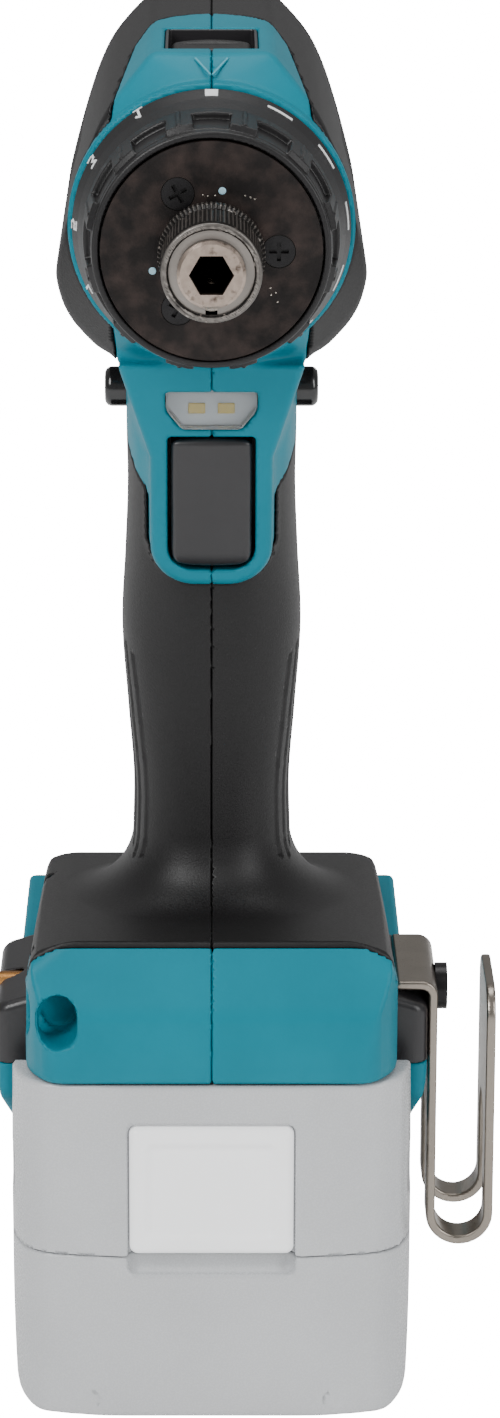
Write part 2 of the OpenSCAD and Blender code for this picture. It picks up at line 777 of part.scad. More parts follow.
module openings() {
    gap = slide_gap;
    floor_t = 3;
    // Barrel, with the motor's two bearing ribs left standing
    difference() {
        on_axis(head_front_y - 1) cylinder(r = barrel_r, h = rear_y - 3 - head_front_y + 1);
        on_axis(bearing_front_y) tube(barrel_r + 1, front_bearing_r + fit_gap, 2.6);
        on_axis(bearing_rear_y + 0.6) tube(barrel_r + 1, rear_bearing_r + fit_gap, 4);
    }
    // Trigger and its frame's mouth
    box([-trigger_w / 2 - gap, -60, trigger_bottom - gap], [trigger_w / 2 + gap, -12, trigger_top + gap]);
    // Lamp
    translate([0, -28, lamp_z]) rotate([90, 0, 0]) linear_extrude(30) lamp_outline(0.1);
    // Direction lever
    along_x(lever_y, lever_z, -40) cylinder(r = lever_h / 2 + gap, h = 80);
    // Speed selector's slot and the pocket for its arm
    box([-selector_half, selector_slot[0], axis_z + 16], [selector_half, selector_slot[1], height + 9]);
    box([-4.6, selector_slot[0], axis_z + 16], [4.6, stage_1_y + 1, axis_z + 24.2]);
    // Terminal block through the floor
    box([-terminal_half - fit_gap, terminal_y[0] - fit_gap, base_z - 1],
        [terminal_half + fit_gap, terminal_y[1] + fit_gap, base_z + floor_t + 1]);
    // Lanyard tunnel, from the front face round to the side
    translate([lanyard[0], -80, lanyard[2]]) rotate([-90, 0, 0])
        cylinder(r = lanyard_r, h = 80 + lanyard[1] + lanyard_r);
    along_x(lanyard[1], lanyard[2], -60) cylinder(r = lanyard_r, h = 60 + lanyard[0] + 1);
    // Accessory inserts
    for (s = [-1, 1])
        along_x(hook_y, screw_z, s * (boss_half - insert_length / 2 + 0.4) - insert_length / 2 - 0.5)
            cylinder(r = insert_r + 0.05, h = insert_length + 1);
    // Screw holes with their counterbores
    for (p = screws) {
        along_x(p[0], p[1], p[2]) cylinder(r = screw_shank_r + 0.06, h = screw_length + 0.5);
        along_x(p[0], p[1], -60) cylinder(r = screw_head_r + 0.3, h = 60 + p[2] + 2);
    }
    // Air slots over the motor and beside the fan
    for (s = [0, 1]) mirror([s, 0, 0]) {
        for (y = [stator_y + 2:5:fan_y - 5])
            box([10, y, axis_z - 14], [60, y + 2, axis_z + 4]);
        for (z = [-12, -5, 2])
            box([10, fan_y + 0.4, axis_z + z], [60, fan_y + 5, axis_z + z + 3]);
    }
}

// Hollow body with the inside parts that belong to it
module body_solid() {
    difference() {
        union() {
            difference() {
                union() {
                    body_shape(0);
                    trigger_frame();
                }
                intersection() {
                    body_shape(skin + wall);
                    box([-100, -100, base_z + 3], [100, 100, axis_z - 22]);
                }
            }
            intersection() {
                body_shape(0.5);
                union() {
                    for (p = screws)
                        along_x(p[0], p[1], -40) cylinder(r = screw_head_r + 1.2, h = 80);
                    box([-60, -80, base_z], [lanyard[0] + lanyard_r + 2, lanyard[1] + lanyard_r + 2,
                        lanyard[2] + lanyard_r + 2]);
                }
            }
            side_rail();
            mirror([1, 0, 0]) side_rail();
        }
        openings();
        controls_room();
    }
}

// Room for the trigger's stroke, the switch and the lamp's board
module controls_room() {
    box([-switch_half - fit_gap, switch_y[0] - fit_gap, switch_z[0] - fit_gap],
        [switch_half + fit_gap, switch_y[1] + fit_gap, switch_z[1] + fit_gap]);
    box([-board_half - fit_gap, -32.9, lamp_z - 5.2], [board_half + fit_gap, -24, lamp_z + 5.2]);
}

// Gap at the parting line between the halves
seam = 0.03;
module half_space(side) {
    box([side > 0 ? seam : -200, -200, -10], [side > 0 ? 200 : 0, 200, height + 50]);
}
module housing_half(side) {
    intersection() {
        difference() {
            body_solid();
            difference() {
                soft_zone();
                body_shape(skin);
                box([skirt_x[0], -60, 0], [60, 60, boss_z[1]]);
                box([-60, -60, 0], [-skirt_x[0], 60, boss_z[1]]);
            }
        }
        half_space(side);
    }
}
module overmold_half(side) {
    difference() {
        intersection() {
            body_shape(0);
            soft_zone();
            half_space(side);
        }
        body_shape(skin);
        trigger_frame();
        box([skirt_x[0], -60, 0], [60, 60, boss_z[1]]);
        box([-60, -60, 0], [-skirt_x[0], 60, boss_z[1]]);
        openings();
    }
}
module housing_left() { color(teal) housing_half(1); }
module housing_right() { color(teal) housing_half(-1); }
module overmold_left() { color(black) overmold_half(1); }
module overmold_right() { color(black) overmold_half(-1); }

module housing_screws() {
    color(dark_steel) for (p = screws)
        along_x(p[0], p[1], p[2]) rotate([180, 0, 0])
            cross_screw(screw_head_r, 2, screw_shank_r, screw_length);
}

// Lamp under the head
board_half = 9;
module led_lens() {
    color(pale) translate([0, -33.4, lamp_z]) rotate([90, 0, 0]) linear_extrude(3.6) lamp_outline(0);
}
module led_board() {
    color([0.9, 0.9, 0.85]) {
        box([-board_half, -32.4, lamp_z - 5], [board_half, -31.4, lamp_z + 5]);
        for (x = [-3.9, 1.1]) box([x, -33.1, lamp_z - 0.6], [x + 2.8, -32.4 + eps, lamp_z + 1]);
    }
}

// Switch behind the trigger; its bore takes the trigger's plunger
switch_half = 10;
switch_y = [-12.5, 11];
switch_z = [trigger_bottom + 1, trigger_top - 1.5];
plunger_r = 3;
plunger_z = trigger_bottom + trigger_h / 2;
module switch_body() {
    color(black) difference() {
        box([-switch_half, switch_y[0], switch_z[0]], [switch_half, switch_y[1], switch_z[1]]);
        translate([0, switch_y[0] - 1, plunger_z]) rotate([-90, 0, 0])
            cylinder(r = plunger_r + slide_gap, h = 4 + trigger_travel + 3);
    }
}

// Trigger: a curved face, a hollow back and the plunger
module trigger() {
    back = switch_y[0] - trigger_travel - 0.6;
    color(black) {
        difference() {
            across(trigger_w)
                polygon([[back, trigger_bottom], [-26.5, trigger_bottom],
                         [-28.5, trigger_bottom + 1.5], [-31.5, trigger_bottom + 9],
                         [-34.5, trigger_top - 5], [-36, trigger_top - 0.6],
                         [-35.5, trigger_top], [back, trigger_top]]);
            box([-trigger_w / 2 + 2, back - 5, trigger_bottom + 2],
                [trigger_w / 2 - 2, back + 1, trigger_top - 2]);
        }
        translate([0, back - 6, plunger_z]) rotate([-90, 0, 0])
            cylinder(r = plunger_r, h = switch_y[0] + 3 - back + 6);
    }
}

// Direction lever through the neck
module direction_lever() {
    r = lever_h / 2;
    color(black) along_x(lever_y, lever_z, -lever_length / 2) union() {
        cylinder(r1 = r - 0.8, r2 = r, h = 0.8);
        translate([0, 0, 0.8]) cylinder(r = r, h = lever_length - 1.6);
        translate([0, 0, lever_length - 0.8]) cylinder(r1 = r, r2 = r - 0.8, h = 0.8);
    }
}

// Speed selector: a ridged button, an arm under the housing's top and a pin to the ring gear
module speed_selector() {
    button = [selector_slot[0] + 0.4, selector_slot[1] - 0.4 - selector_travel];
    pin_y = stage_2_y + 1.5;
    top = height - 0.6;
    color(black) difference() {
        union() {
            box([-selector_half + 0.4, button[0], axis_z + 22], [selector_half - 0.4, button[1], top]);
            box([-3.6, button[0] + 1, axis_z + 21.8], [3.6, pin_y + 3, axis_z + 23.8]);
            box([-3.5, pin_y, axis_z + ring_gear_r + 0.02], [3.5, pin_y + 3, axis_z + 22]);
        }
        for (k = [0:3])
            box([-selector_half, button[0] + 2.2 + k * 2.6, top - 0.8],
                [selector_half, button[0] + 3.4 + k * 2.6, top + 1]);
    }
}

// Potted controller in the tool's base
module controller() {
    color(dark_steel) {
        box([-21, -33, base_z + 3.2], [21, 12, base_z + 11]);
        for (k = [0:2]) on_box_top(-12 + k * 12) cylinder(r = 3.2, h = 5);
    }
}
module on_box_top(x) {
    translate([x, 4, base_z + 11 - eps]) children();
}

terminal_half = 13.5;
terminal_y = [18, 43];
blade_x = [-9, -3, 3, 9];
blade_t = 0.8;
blade_z = [54, 61];
module blade_boxes(y0, y1, grow) {
    for (x = blade_x)
        box([x - blade_t / 2 - grow, y0, blade_z[0]], [x + blade_t / 2 + grow, y1, blade_z[1]]);
}
module terminal_block() {
    color(black) difference() {
        union() {
            box([-terminal_half, terminal_y[0], 52.1], [terminal_half, terminal_y[1], base_z + 3.3]);
            box([-terminal_half - 2, terminal_y[0] - 2, base_z + 3.1],
                [terminal_half + 2, terminal_y[1] - 0.5, base_z + 3.9]);
        }
        blade_boxes(terminal_y[0] - 1, 30, 0);
    }
}
module terminal_blades() {
    color(brass) blade_boxes(9, 30, 0);
}

// Belt hook bent from flat strip, with a slot through both legs
hook_x = boss_half + 0.1;
hook_top = boss_z[1] + 0.1;
hook_bend_z = 31.4;
hook_tip_z = hook_top - 0.6;
module hook() {
    r_in = hook_gap / 2;
    r_out = r_in + hook_t;
    mid_x = hook_x + r_out;
    color([0.6, 0.57, 0.52]) difference() {
        translate([0, hook_y + hook_w / 2, 0]) rotate([90, 0, 0]) linear_extrude(hook_w) union() {
            translate([hook_x, hook_bend_z]) square([hook_t, hook_top + hook_t - hook_bend_z]);
            translate([hook_x - 5.2, hook_top]) square([5.7, hook_t]);
            translate([hook_x + r_out + r_in, hook_bend_z])
                square([hook_t, hook_tip_z - hook_bend_z]);
            difference() {
                translate([mid_x, hook_bend_z]) circle(r = r_out);
                translate([mid_x, hook_bend_z]) circle(r = r_in);
                translate([hook_x - 5, hook_bend_z]) square([40, 40]);
            }
        }
        box([hook_x - 1, hook_y - hook_w / 4, 0], [hook_x + 30, hook_y + hook_w / 4, 50]);
        along_x(hook_y, screw_z, hook_x - 1) cylinder(r = screw_d / 2 + 0.1, h = hook_t + 2);
    }
}
module hook_screw() {
    color(black) along_x(hook_y, screw_z, hook_x + hook_t + 2.2)
        cross_screw(4.3, 2.2, screw_d / 2, 11);
}
module insert(side) {
    color(brass) along_x(hook_y, screw_z, side * (boss_half - insert_length / 2 - 0.1) - insert_length / 2)
        tube(insert_r, screw_d / 2, insert_length);
}
module insert_left() { insert(1); }
module insert_right() { insert(-1); }

// Battery pack
part_z = 32;
rail_half = 25;
block_y = -pack_length / 2 + 14.5;
pack_corner = 7;
button_half = 14.8;
button_z = [32.8, 57.4];
button_depth = 3;
button_travel = 4;

// Pack's outline across its width, from the foot up to a height
module pack_shell(inset, z0, z1) {
    w = pack_width / 2 - inset;
    intersection() {
        round_block(2 * w, -pack_length / 2 + inset, pack_length / 2 - inset, z0, z1, pack_corner - inset);
        translate([0, 100, 0]) rotate([90, 0, 0]) linear_extrude(200)
            polygon([[-w + 2.2, z0 < 1 ? 0 : inset], [w - 2.2, z0 < 1 ? 0 : inset],
                     [w - 1.4, 3 + inset], [w, 20], [w, 45], [w - 1.2, 70], [w - 1.2, 90],
                     [-w + 1.2, 90], [-w + 1.2, 70], [-w, 45], [-w, 20], [-w + 1.4, 3 + inset]]);
    }
}
module button_recess() {
    box([-button_half - slide_gap, -pack_length / 2 - 5, button_z[0] - button_travel - slide_gap],
        [button_half + slide_gap, -pack_length / 2 + button_depth, button_z[1] + slide_gap]);
}
// Wall behind the release button's recess
module button_wall(z0, z1) {
    box([-button_half - 2.2, -pack_length / 2 + pack_wall - 0.5, z0],
        [button_half + 2.2, -pack_length / 2 + button_depth + 1.4, z1]);
}
module pack_case_top() {
    color(pale) difference() {
        union() {
            difference() {
                union() {
                    pack_shell(0, part_z, pack_body_height);
                    intersection() {
                        pack_shell(0, part_z, pack_height);
                        box([-60, -80, part_z], [60, block_y, pack_height]);
                    }
                    box([-rail_half, block_y - 2, pack_body_height - 1],
                        [rail_half, 48, pack_height - 0.4]);
                }
                pack_shell(pack_wall, part_z - 1, pack_body_height - pack_wall);
                intersection() {
                    pack_shell(pack_wall, part_z - 1, pack_height - pack_wall);
                    box([-60, -80, part_z], [60, block_y - pack_wall, pack_height - pack_wall]);
                }
                box([-19.5, block_y + 1, part_z], [19.5, 2.6, pack_height - 0.4 - pack_wall]);
            }
            button_wall(part_z, button_z[1] + 2);
        }
        for (s = [0, 1]) mirror([s, 0, 0])
            box([lip_x - 0.5, block_y, lip_z[0] - 0.5], [rail_half + 1, 60, lip_z[1] + 0.5]);
        box([-14.5, 5, 51.6], [14.5, 60, pack_height + 1]);
        button_recess();
    }
}
module pack_case_bottom() {
    color(pale) difference() {
        union() {
            difference() {
                pack_shell(0, 0, part_z);
                pack_shell(pack_wall, pack_wall, part_z + 1);
            }
            button_wall(part_z - 10, part_z);
        }
        button_recess();
    }
}
module cells() {
    pitch = cell_d + 0.3;
    color([0.2, 0.4, 0.7]) for (i = [-2:2], j = [0, 1])
        along_x(1.2 + i * pitch, pack_wall + 0.3 + cell_d / 2 + j * pitch, -cell_length / 2)
            cylinder(r = cell_d / 2, h = cell_length);
}
module pack_board() {
    z = pack_wall + 0.6 + 2 * cell_d + 0.9;
    color([0.05, 0.3, 0.15]) box([-26, -30, z], [26, 46, z + 1.6]);
}
module pack_contacts() {
    color(brass) for (x = blade_x, s = [-1, 1])
        box([x + (s > 0 ? blade_t / 2 + 0.1 : -blade_t / 2 - 0.8), 6, 51.62],
            [x + (s > 0 ? blade_t / 2 + 0.8 : -blade_t / 2 - 0.1), 15, blade_z[1] + 0.5]);
}
module release_button() {
    color("white") difference() {
        box([-button_half, -pack_length / 2 - 0.6, button_z[0]],
            [button_half, -pack_length / 2 + button_depth - 0.3, button_z[1]]);
        box([-button_half + 3, -pack_length / 2 - 1, button_z[0] + 3],
            [button_half - 3, -pack_length / 2, button_z[1] - 3]);
    }
}

housing_left();
housing_right();
overmold_left();
overmold_right();
housing_screws();
led_lens();
led_board();
switch_body();
controller();
terminal_block();
terminal_blades();
gear_case();
gear_case_cover();
ring_gear_1();
ring_gear_2();
ring_gear_3();
nose_plate();
nose_screws();
hook();
hook_screw();
insert_left();
insert_right();
stator_core();
stator_coils();
sensor_board();
motor_bearings();
spindle_bearing();
spindle_bush();
speed_selector();
torque_ring();
ring_marks();
clutch_nut();
clutch_spring();
rotor_shaft();
rotor_magnets();
fan();
planets_1a();
planets_1b();
planets_1c();
planets_2a();
planets_2b();
planets_2c();
planets_3a();
planets_3b();
planets_3c();
carrier_1();
carrier_2();
spindle();
bit_retainer();
chuck_balls();
chuck_sleeve();
sleeve_spring();
trigger();
direction_lever();
pack_case_top();
pack_case_bottom();
cells();
pack_contacts();
pack_board();
release_button();
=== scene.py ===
"""Looks for the cordless drill: shells grown from distance fields, with procedural finishes."""
import math
import bpy
import numpy as np
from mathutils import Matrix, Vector


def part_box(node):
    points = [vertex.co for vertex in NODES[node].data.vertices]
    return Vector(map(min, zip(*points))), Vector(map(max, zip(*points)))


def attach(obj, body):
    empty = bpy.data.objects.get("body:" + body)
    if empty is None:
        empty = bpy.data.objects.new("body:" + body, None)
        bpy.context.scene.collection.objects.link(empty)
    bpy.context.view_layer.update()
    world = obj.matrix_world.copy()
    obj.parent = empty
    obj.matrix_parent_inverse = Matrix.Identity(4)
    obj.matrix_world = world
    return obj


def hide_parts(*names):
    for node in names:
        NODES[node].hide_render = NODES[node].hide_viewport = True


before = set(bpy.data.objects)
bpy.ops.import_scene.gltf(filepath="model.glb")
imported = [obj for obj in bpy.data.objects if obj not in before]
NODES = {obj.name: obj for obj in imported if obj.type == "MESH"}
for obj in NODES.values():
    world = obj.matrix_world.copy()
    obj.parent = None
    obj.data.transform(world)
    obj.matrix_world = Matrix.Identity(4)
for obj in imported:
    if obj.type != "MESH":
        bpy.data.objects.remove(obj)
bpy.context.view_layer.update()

MM = 0.001


def mm_box(node):
    low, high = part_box(node)
    return np.array(low) / MM, np.array(high) / MM


# Driving places, all read from the frame, in millimetres
TIP_LOW = mm_box("spindle")[0]
RING_LOW, RING_HIGH = mm_box("torque_ring")
PLATE_LOW = mm_box("nose_plate")[0]
SLEEVE_LOW, SLEEVE_HIGH = mm_box("chuck_sleeve")
BODY_LOW, BODY_HIGH = mm_box("housing_left")
PACK_LOW, PACK_HIGH = mm_box("pack_case_bottom")
PACK_TOP_LOW, PACK_TOP_HIGH = mm_box("pack_case_top")
TRIGGER_LOW, TRIGGER_HIGH = mm_box("trigger")
LEVER_LOW, LEVER_HIGH = mm_box("direction_lever")
LENS_LOW, LENS_HIGH = mm_box("led_lens")
SELECTOR_LOW, SELECTOR_HIGH = mm_box("speed_selector")
HOOK_LOW, HOOK_HIGH = mm_box("hook")
BUTTON_LOW, BUTTON_HIGH = mm_box("release_button")
AXIS = (RING_LOW[2] + RING_HIGH[2]) / 2
FRONT = RING_HIGH[1] + 0.35
REAR = BODY_HIGH[1]
BASE = PACK_TOP_HIGH[2] + 0.4


# ---------------------------------------------------------------- distance fields
def length(*parts):
    return np.sqrt(sum(p * p for p in parts))


def cut(a, b, r):
    """Keeps what is inside both fields, with the edge between them rounded to radius r."""
    return np.minimum(-r, np.maximum(a, b)) + length(np.maximum(a + r, 0), np.maximum(b + r, 0))


def join(a, b, r):
    """Keeps what is inside either field, with a fillet of radius r between them."""
    return -cut(-a, -b, r)


def block(p, low, high, r):
    """Box between two corners with edges rounded to radius r."""
    q = [np.abs(p[i] - (low[i] + high[i]) / 2) - (high[i] - low[i]) / 2 + r for i in range(3)]
    outside = length(*[np.maximum(v, 0) for v in q])
    return outside + np.minimum(np.maximum(np.maximum(q[0], q[1]), q[2]), 0) - r


def plane(p, point, normal):
    n = np.array(normal, dtype=float) / np.linalg.norm(normal)
    return sum((p[i] - point[i]) * n[i] for i in range(3))


def outline(u, v, points, r):
    """Convex outline in two coordinates, given clockwise or not, with corners rounded to r."""
    points = np.array(points, dtype=float)
    middle = points.mean(axis=0)
    field = None
    for a, b in zip(points, np.roll(points, -1, axis=0)):
        n = np.array([b[1] - a[1], a[0] - b[0]])
        n /= np.linalg.norm(n)
        if np.dot(a - middle, n) < 0:
            n = -n
        side = (u - a[0]) * n[0] + (v - a[1]) * n[1]
        field = side if field is None else cut(field, side, r)
    return field


def smooth_curve(t, knots, values):
    """Smooth curve through values at rising knots, flat beyond the ends."""
    knots, values = np.array(knots, dtype=float), np.array(values, dtype=float)
    slopes = np.gradient(values, knots)
    t = np.clip(t, knots[0], knots[-1])
    i = np.clip(np.searchsorted(knots, t) - 1, 0, len(knots) - 2)
    width = knots[i + 1] - knots[i]
    s = (t - knots[i]) / width
    return ((2 * s**3 - 3 * s**2 + 1) * values[i] + (s**3 - 2 * s**2 + s) * width * slopes[i]
            + (3 * s**2 - 2 * s**3) * values[i + 1] + (s**3 - s**2) * width * slopes[i + 1])


def squircle(x, y, hx, hy, power):
    """Field of a rounded rectangle-like oval with half sizes that may vary from point to point."""
    reach = length(x, y) + 1e-6
    rho = ((np.abs(x) / hx) ** power + (np.abs(y) / hy) ** power) ** (1 / power) + 1e-6
    return reach - reach / rho


def gradient(field, points, step=0.02):
    grad = np.empty_like(points)
    for axis in range(3):
        shift = np.zeros(3)
        shift[axis] = step
        ahead = field((points + shift).T)
        behind = field((points - shift).T)
        grad[:, axis] = (ahead - behind) / (2 * step)
    return grad


CORNERS = np.array([[i, j, k] for i in (0, 1) for j in (0, 1) for k in (0, 1)])
EDGES = [(a, b) for a in range(8) for b in range(a + 1, 8)
         if np.abs(CORNERS[a] - CORNERS[b]).sum() == 1]


def surface_net(field, low, high, step):
    """Quads and points of the surface where the field is zero, drawn onto it with its normals."""
    axes = [np.arange(low[i] - step, high[i] + 2 * step, step, dtype=np.float32) for i in range(3)]
    grid = np.meshgrid(*axes, indexing="ij", sparse=True)
    values = field(grid) + np.zeros([len(a) for a in axes], dtype=np.float32)
    inside = values < 0
    count = sum(inside[c[0]:c[0] + inside.shape[0] - 1, c[1]:c[1] + inside.shape[1] - 1,
                       c[2]:c[2] + inside.shape[2] - 1].astype(np.int8) for c in CORNERS)
    cells = np.argwhere((count > 0) & (count < 8))
    number = np.full(count.shape, -1, dtype=np.int64)
    number[tuple(cells.T)] = np.arange(len(cells))
    corner = np.stack([values[tuple((cells + c).T)] for c in CORNERS], axis=1)
    total, hits = np.zeros((len(cells), 3)), np.zeros(len(cells))
    for a, b in EDGES:
        crosses = (corner[:, a] < 0) != (corner[:, b] < 0)
        part = corner[:, a] / np.where(crosses, corner[:, a] - corner[:, b], 1)
        spot = CORNERS[a] + part[:, None] * (CORNERS[b] - CORNERS[a])
        total += np.where(crosses[:, None], spot, 0)
        hits += crosses
    points = (cells + total / hits[:, None]) * step + [a[0] for a in axes]
    quads = []
    for axis in range(3):
        first = [slice(1, -1)] * 3
        second = list(first)
        first[axis], second[axis] = slice(0, -1), slice(1, None)
        changes = inside[tuple(first)] != inside[tuple(second)]
        spots = np.argwhere(changes) + [0 if i == axis else 1 for i in range(3)]
        goes_in = inside[tuple(spots.T)]
        one, two = np.eye(3, dtype=int)[(axis + 1) % 3], np.eye(3, dtype=int)[(axis + 2) % 3]
        ring = [number[tuple((spots - d).T)] for d in (0 * one, one, one + two, two)]
        quad = np.stack(ring, axis=1)
        quad[~goes_in] = quad[~goes_in][:, ::-1]
        quads.append(quad)
    for _ in range(3):
        grad = gradient(field, points)
        size = np.maximum((grad**2).sum(axis=1), 0.05)
        pull = grad * (field(points.T) / size)[:, None]
        reach = np.linalg.norm(pull, axis=1, keepdims=True)
        points = points - pull * np.minimum(1, 0.4 * step / np.maximum(reach, 1e-9))
    return points, np.concatenate(quads), gradient(field, points)


def mesh_object(name, points, faces, smooth=True):
    """New object from points in millimetres."""
    mesh = bpy.data.meshes.new(name)
    mesh.from_pydata((np.asarray(points) * MM).tolist(), [], [list(map(int, f)) for f in faces])
    mesh.update()
    mesh.polygons.foreach_set("use_smooth", [smooth] * len(mesh.polygons))
    piece = bpy.data.objects.new(name, mesh)
    bpy.context.scene.collection.objects.link(piece)
    return piece


def grown(name, field, low, high, step, whole=None):
    """Object whose skin is the field's zero surface, shaded by the field's own normals.
    Where the surface is also that of the whole, unsplit shape, it is shaded as that."""
    points, quads, grad = surface_net(field, low, high, step)
    piece = mesh_object(name, points, quads)
    if whole is not None:
        shared = np.abs(whole(points.T)) < 0.06
        grad[shared] = gradient(whole, points[shared])
    normals = grad / np.maximum(np.linalg.norm(grad, axis=1, keepdims=True), 1e-9)
    piece.data.normals_split_custom_set_from_vertices(normals.tolist())
    return piece


# ---------------------------------------------------------------- the tool's body
GRIP_Z = [94, 104, 119, 136, 150, 165, 176, AXIS - 31, AXIS - 18]
GRIP_HALF = [14.8, 14.6, 15.6, 16.6, 15.9, 15.3, 15.4, 15.4, 16]
GRIP_DEEP = [21, 20.5, 20, 20, 21, 22.5, 25.5, 28.5, 30]
GRIP_Y = [6, 6, 5, 3, 0.5, -4, -6.3, -8, -8]
GRIP_POWER = [2.6, 2.6, 2.6, 2.6, 2.7, 3, 3.3, 3.6, 4]
HEAD_SIDE = [(11, 28.4), (13.5, 25.4), (16.6, 22.1), (19.7, 17), (22.4, 10.5), (24.2, 5), (26, -2),
             (27.4, -8), (27.2, -13), (25.2, -19), (20.5, -24.5), (13, -27.4)]
BASE_FRONT = [(-56.3, BASE), (-54.4, BASE + 13.2), (-52.6, BASE + 16.4), (-48.2, BASE + 24.4),
              (44, BASE + 9.6), (49.2, BASE + 4), (49.5, BASE)]
BASE_SIDE = [(29, -55.9), (33.6, -49), (34, 0), (33, 44), (27, 49.5)]
RAMP_START, RAMP_SLOPE = 24.7, 0.42
BARREL_R = 21.4
SLOT_HALF, SLOT_RUN = 8.2, 20.8
LEVER_HOLE_R = 4.1
SKIN = 1.6
INSERT_Y, INSERT_Z = (HOOK_LOW[1] + HOOK_HIGH[1]) / 2, BASE + 6.2
INSERT_R = 2.8
LANYARD_X, LANYARD_Y, LANYARD_Z = -27.5, -46, BASE + 11
LANYARD_R, LANYARD_RISE = 3.5, 1.2
SCREW_WELL_R, SCREW_POST_R = 3.2, 4.2
WALL = 4.0


def mirrored(points):
    return points + [(-x, y) for x, y in reversed(points)]


def grip_field(p):
    x, y, z = p
    at = {name: smooth_curve(z, GRIP_Z, values) for name, values in
          (("half", GRIP_HALF), ("deep", GRIP_DEEP), ("mid", GRIP_Y), ("power", GRIP_POWER))}
    side = squircle(x, y - at["mid"], at["half"], at["deep"], at["power"])
    return cut(cut(side, BASE + 6 - z, 1), z - AXIS + 10, 1)


def head_field(p):
    x, y, z = p
    up = z - AXIS
    around = length(x, up)
    section = outline(np.abs(x), up, mirrored(HEAD_SIDE), 1.2)
    ramp = plane(p, (0, FRONT, AXIS + RAMP_START), (0, -RAMP_SLOPE, 1))
    widen = (around - 24.9 - 0.75 * (y - FRONT - 3)) * 0.8
    collar = cut(around - 24.75, y - FRONT - 6, 0.5)
    body = cut(cut(section, ramp, 0.6), widen, 1.0)
    back = length(np.maximum(y - REAR + 15, 0), around * 0.8) - 26.5
    body = cut(cut(body, back, 3), FRONT + 1.6 - y, 0.4)
    body = join(body, collar, 0.3)
    return cut(cut(body, FRONT - y, 0.4), y - REAR, 3)


def base_field(p):
    x, y, z = p
    plan = outline(x, y, mirrored(BASE_SIDE), 2.2)
    side = outline(y, z, BASE_FRONT, 0.7)
    shoulder = plane((np.abs(x), y, z), (33.6, -48.2, BASE + 20.6), (0.6, 0.11, 0.78))
    return cut(cut(plan, side, 0.6), shoulder, 3)


def frame_field(p):
    """Raised frame round the trigger, with the lamp's bezel above it."""
    x, y, z = p
    low = TRIGGER_LOW[2] - 3.6
    corner = 8
    u = np.maximum(np.abs(x) - 10.9 + corner, 0)
    v = np.maximum(low + corner - z, 0)
    face = length(u, v) - corner + 0 * z
    flare = np.maximum(z - TRIGGER_HIGH[2] + 4, 0) * 0.3
    front = plane(p, (0, -25.2, low), (0, -1, -0.345))
    return cut(cut(cut(face - flare, front, 1.3), y + 12, 1), z - AXIS + 25, 1)


def body_field(p):
    shape = join(grip_field(p), base_field(p), 13)
    shape = join(shape, frame_field(p), 1.8)
    return join(shape, head_field(p), 2.2)


def soft_region(p):
    """Positive where rubber covers the housing."""
    x, y, z = p
    up = z - AXIS
    wide = np.abs(x)
    top_edge = 17.5 - 0.09 * (y - FRONT) - 0.06 * np.maximum(up - 18, 0)
    head = np.minimum(np.maximum(wide - top_edge, y - 9 + 0.075 * x**2), up + 27)
    head = np.minimum(head, (y - FRONT - 3.2))
    line = np.minimum(plane(p, (0, -6.5, AXIS - 27), (0, 0.82, -0.57)),
                      plane(p, (0, -22, AXIS - 47), (0, 0.45, -0.89)))
    border = np.minimum(np.minimum(y + 48.1, 32.9 - wide), z - BASE - 17 + 0.16 * (y + 48.2))
    grip = np.minimum(np.maximum(line, plane(p, (0, 0, AXIS - 54), (0, 0, -1))), border)
    grip = np.minimum(grip, frame_field(p) - 0.4)
    return np.maximum(head, grip)


def boss_field(p):
    """Bearing boss on one side of the base, tapered towards its foot."""
    x, y, z = p
    wide = np.abs(x)
    outer = BODY_HIGH[0] - 0.1
    plan = cut(wide - outer, np.abs(y + 20.5) - 17.5, 2.5)
    tip = cut(plane((wide, y, z), (outer, 0, BASE - 8), (1, 0, -0.34)),
              plane((wide, y, z), (0, -38, BASE - 9), (0, -1, -0.9)), 1)
    body = cut(cut(plan, tip, 1), plane((wide, y, z), (34, 0, BASE + 9.6), (0.3, 0, 1)), 1.6)
    return cut(cut(body, BASE - 17.5 - z, 1), 28 - wide, 1)


def skirt_field(p):
    x, y, z = p
    wide = np.abs(x)
    return block((wide, y, z), (27.4, -37, PACK_TOP_LOW[2] + 16.5), (36.2, 47, BASE + 4), 1.2)


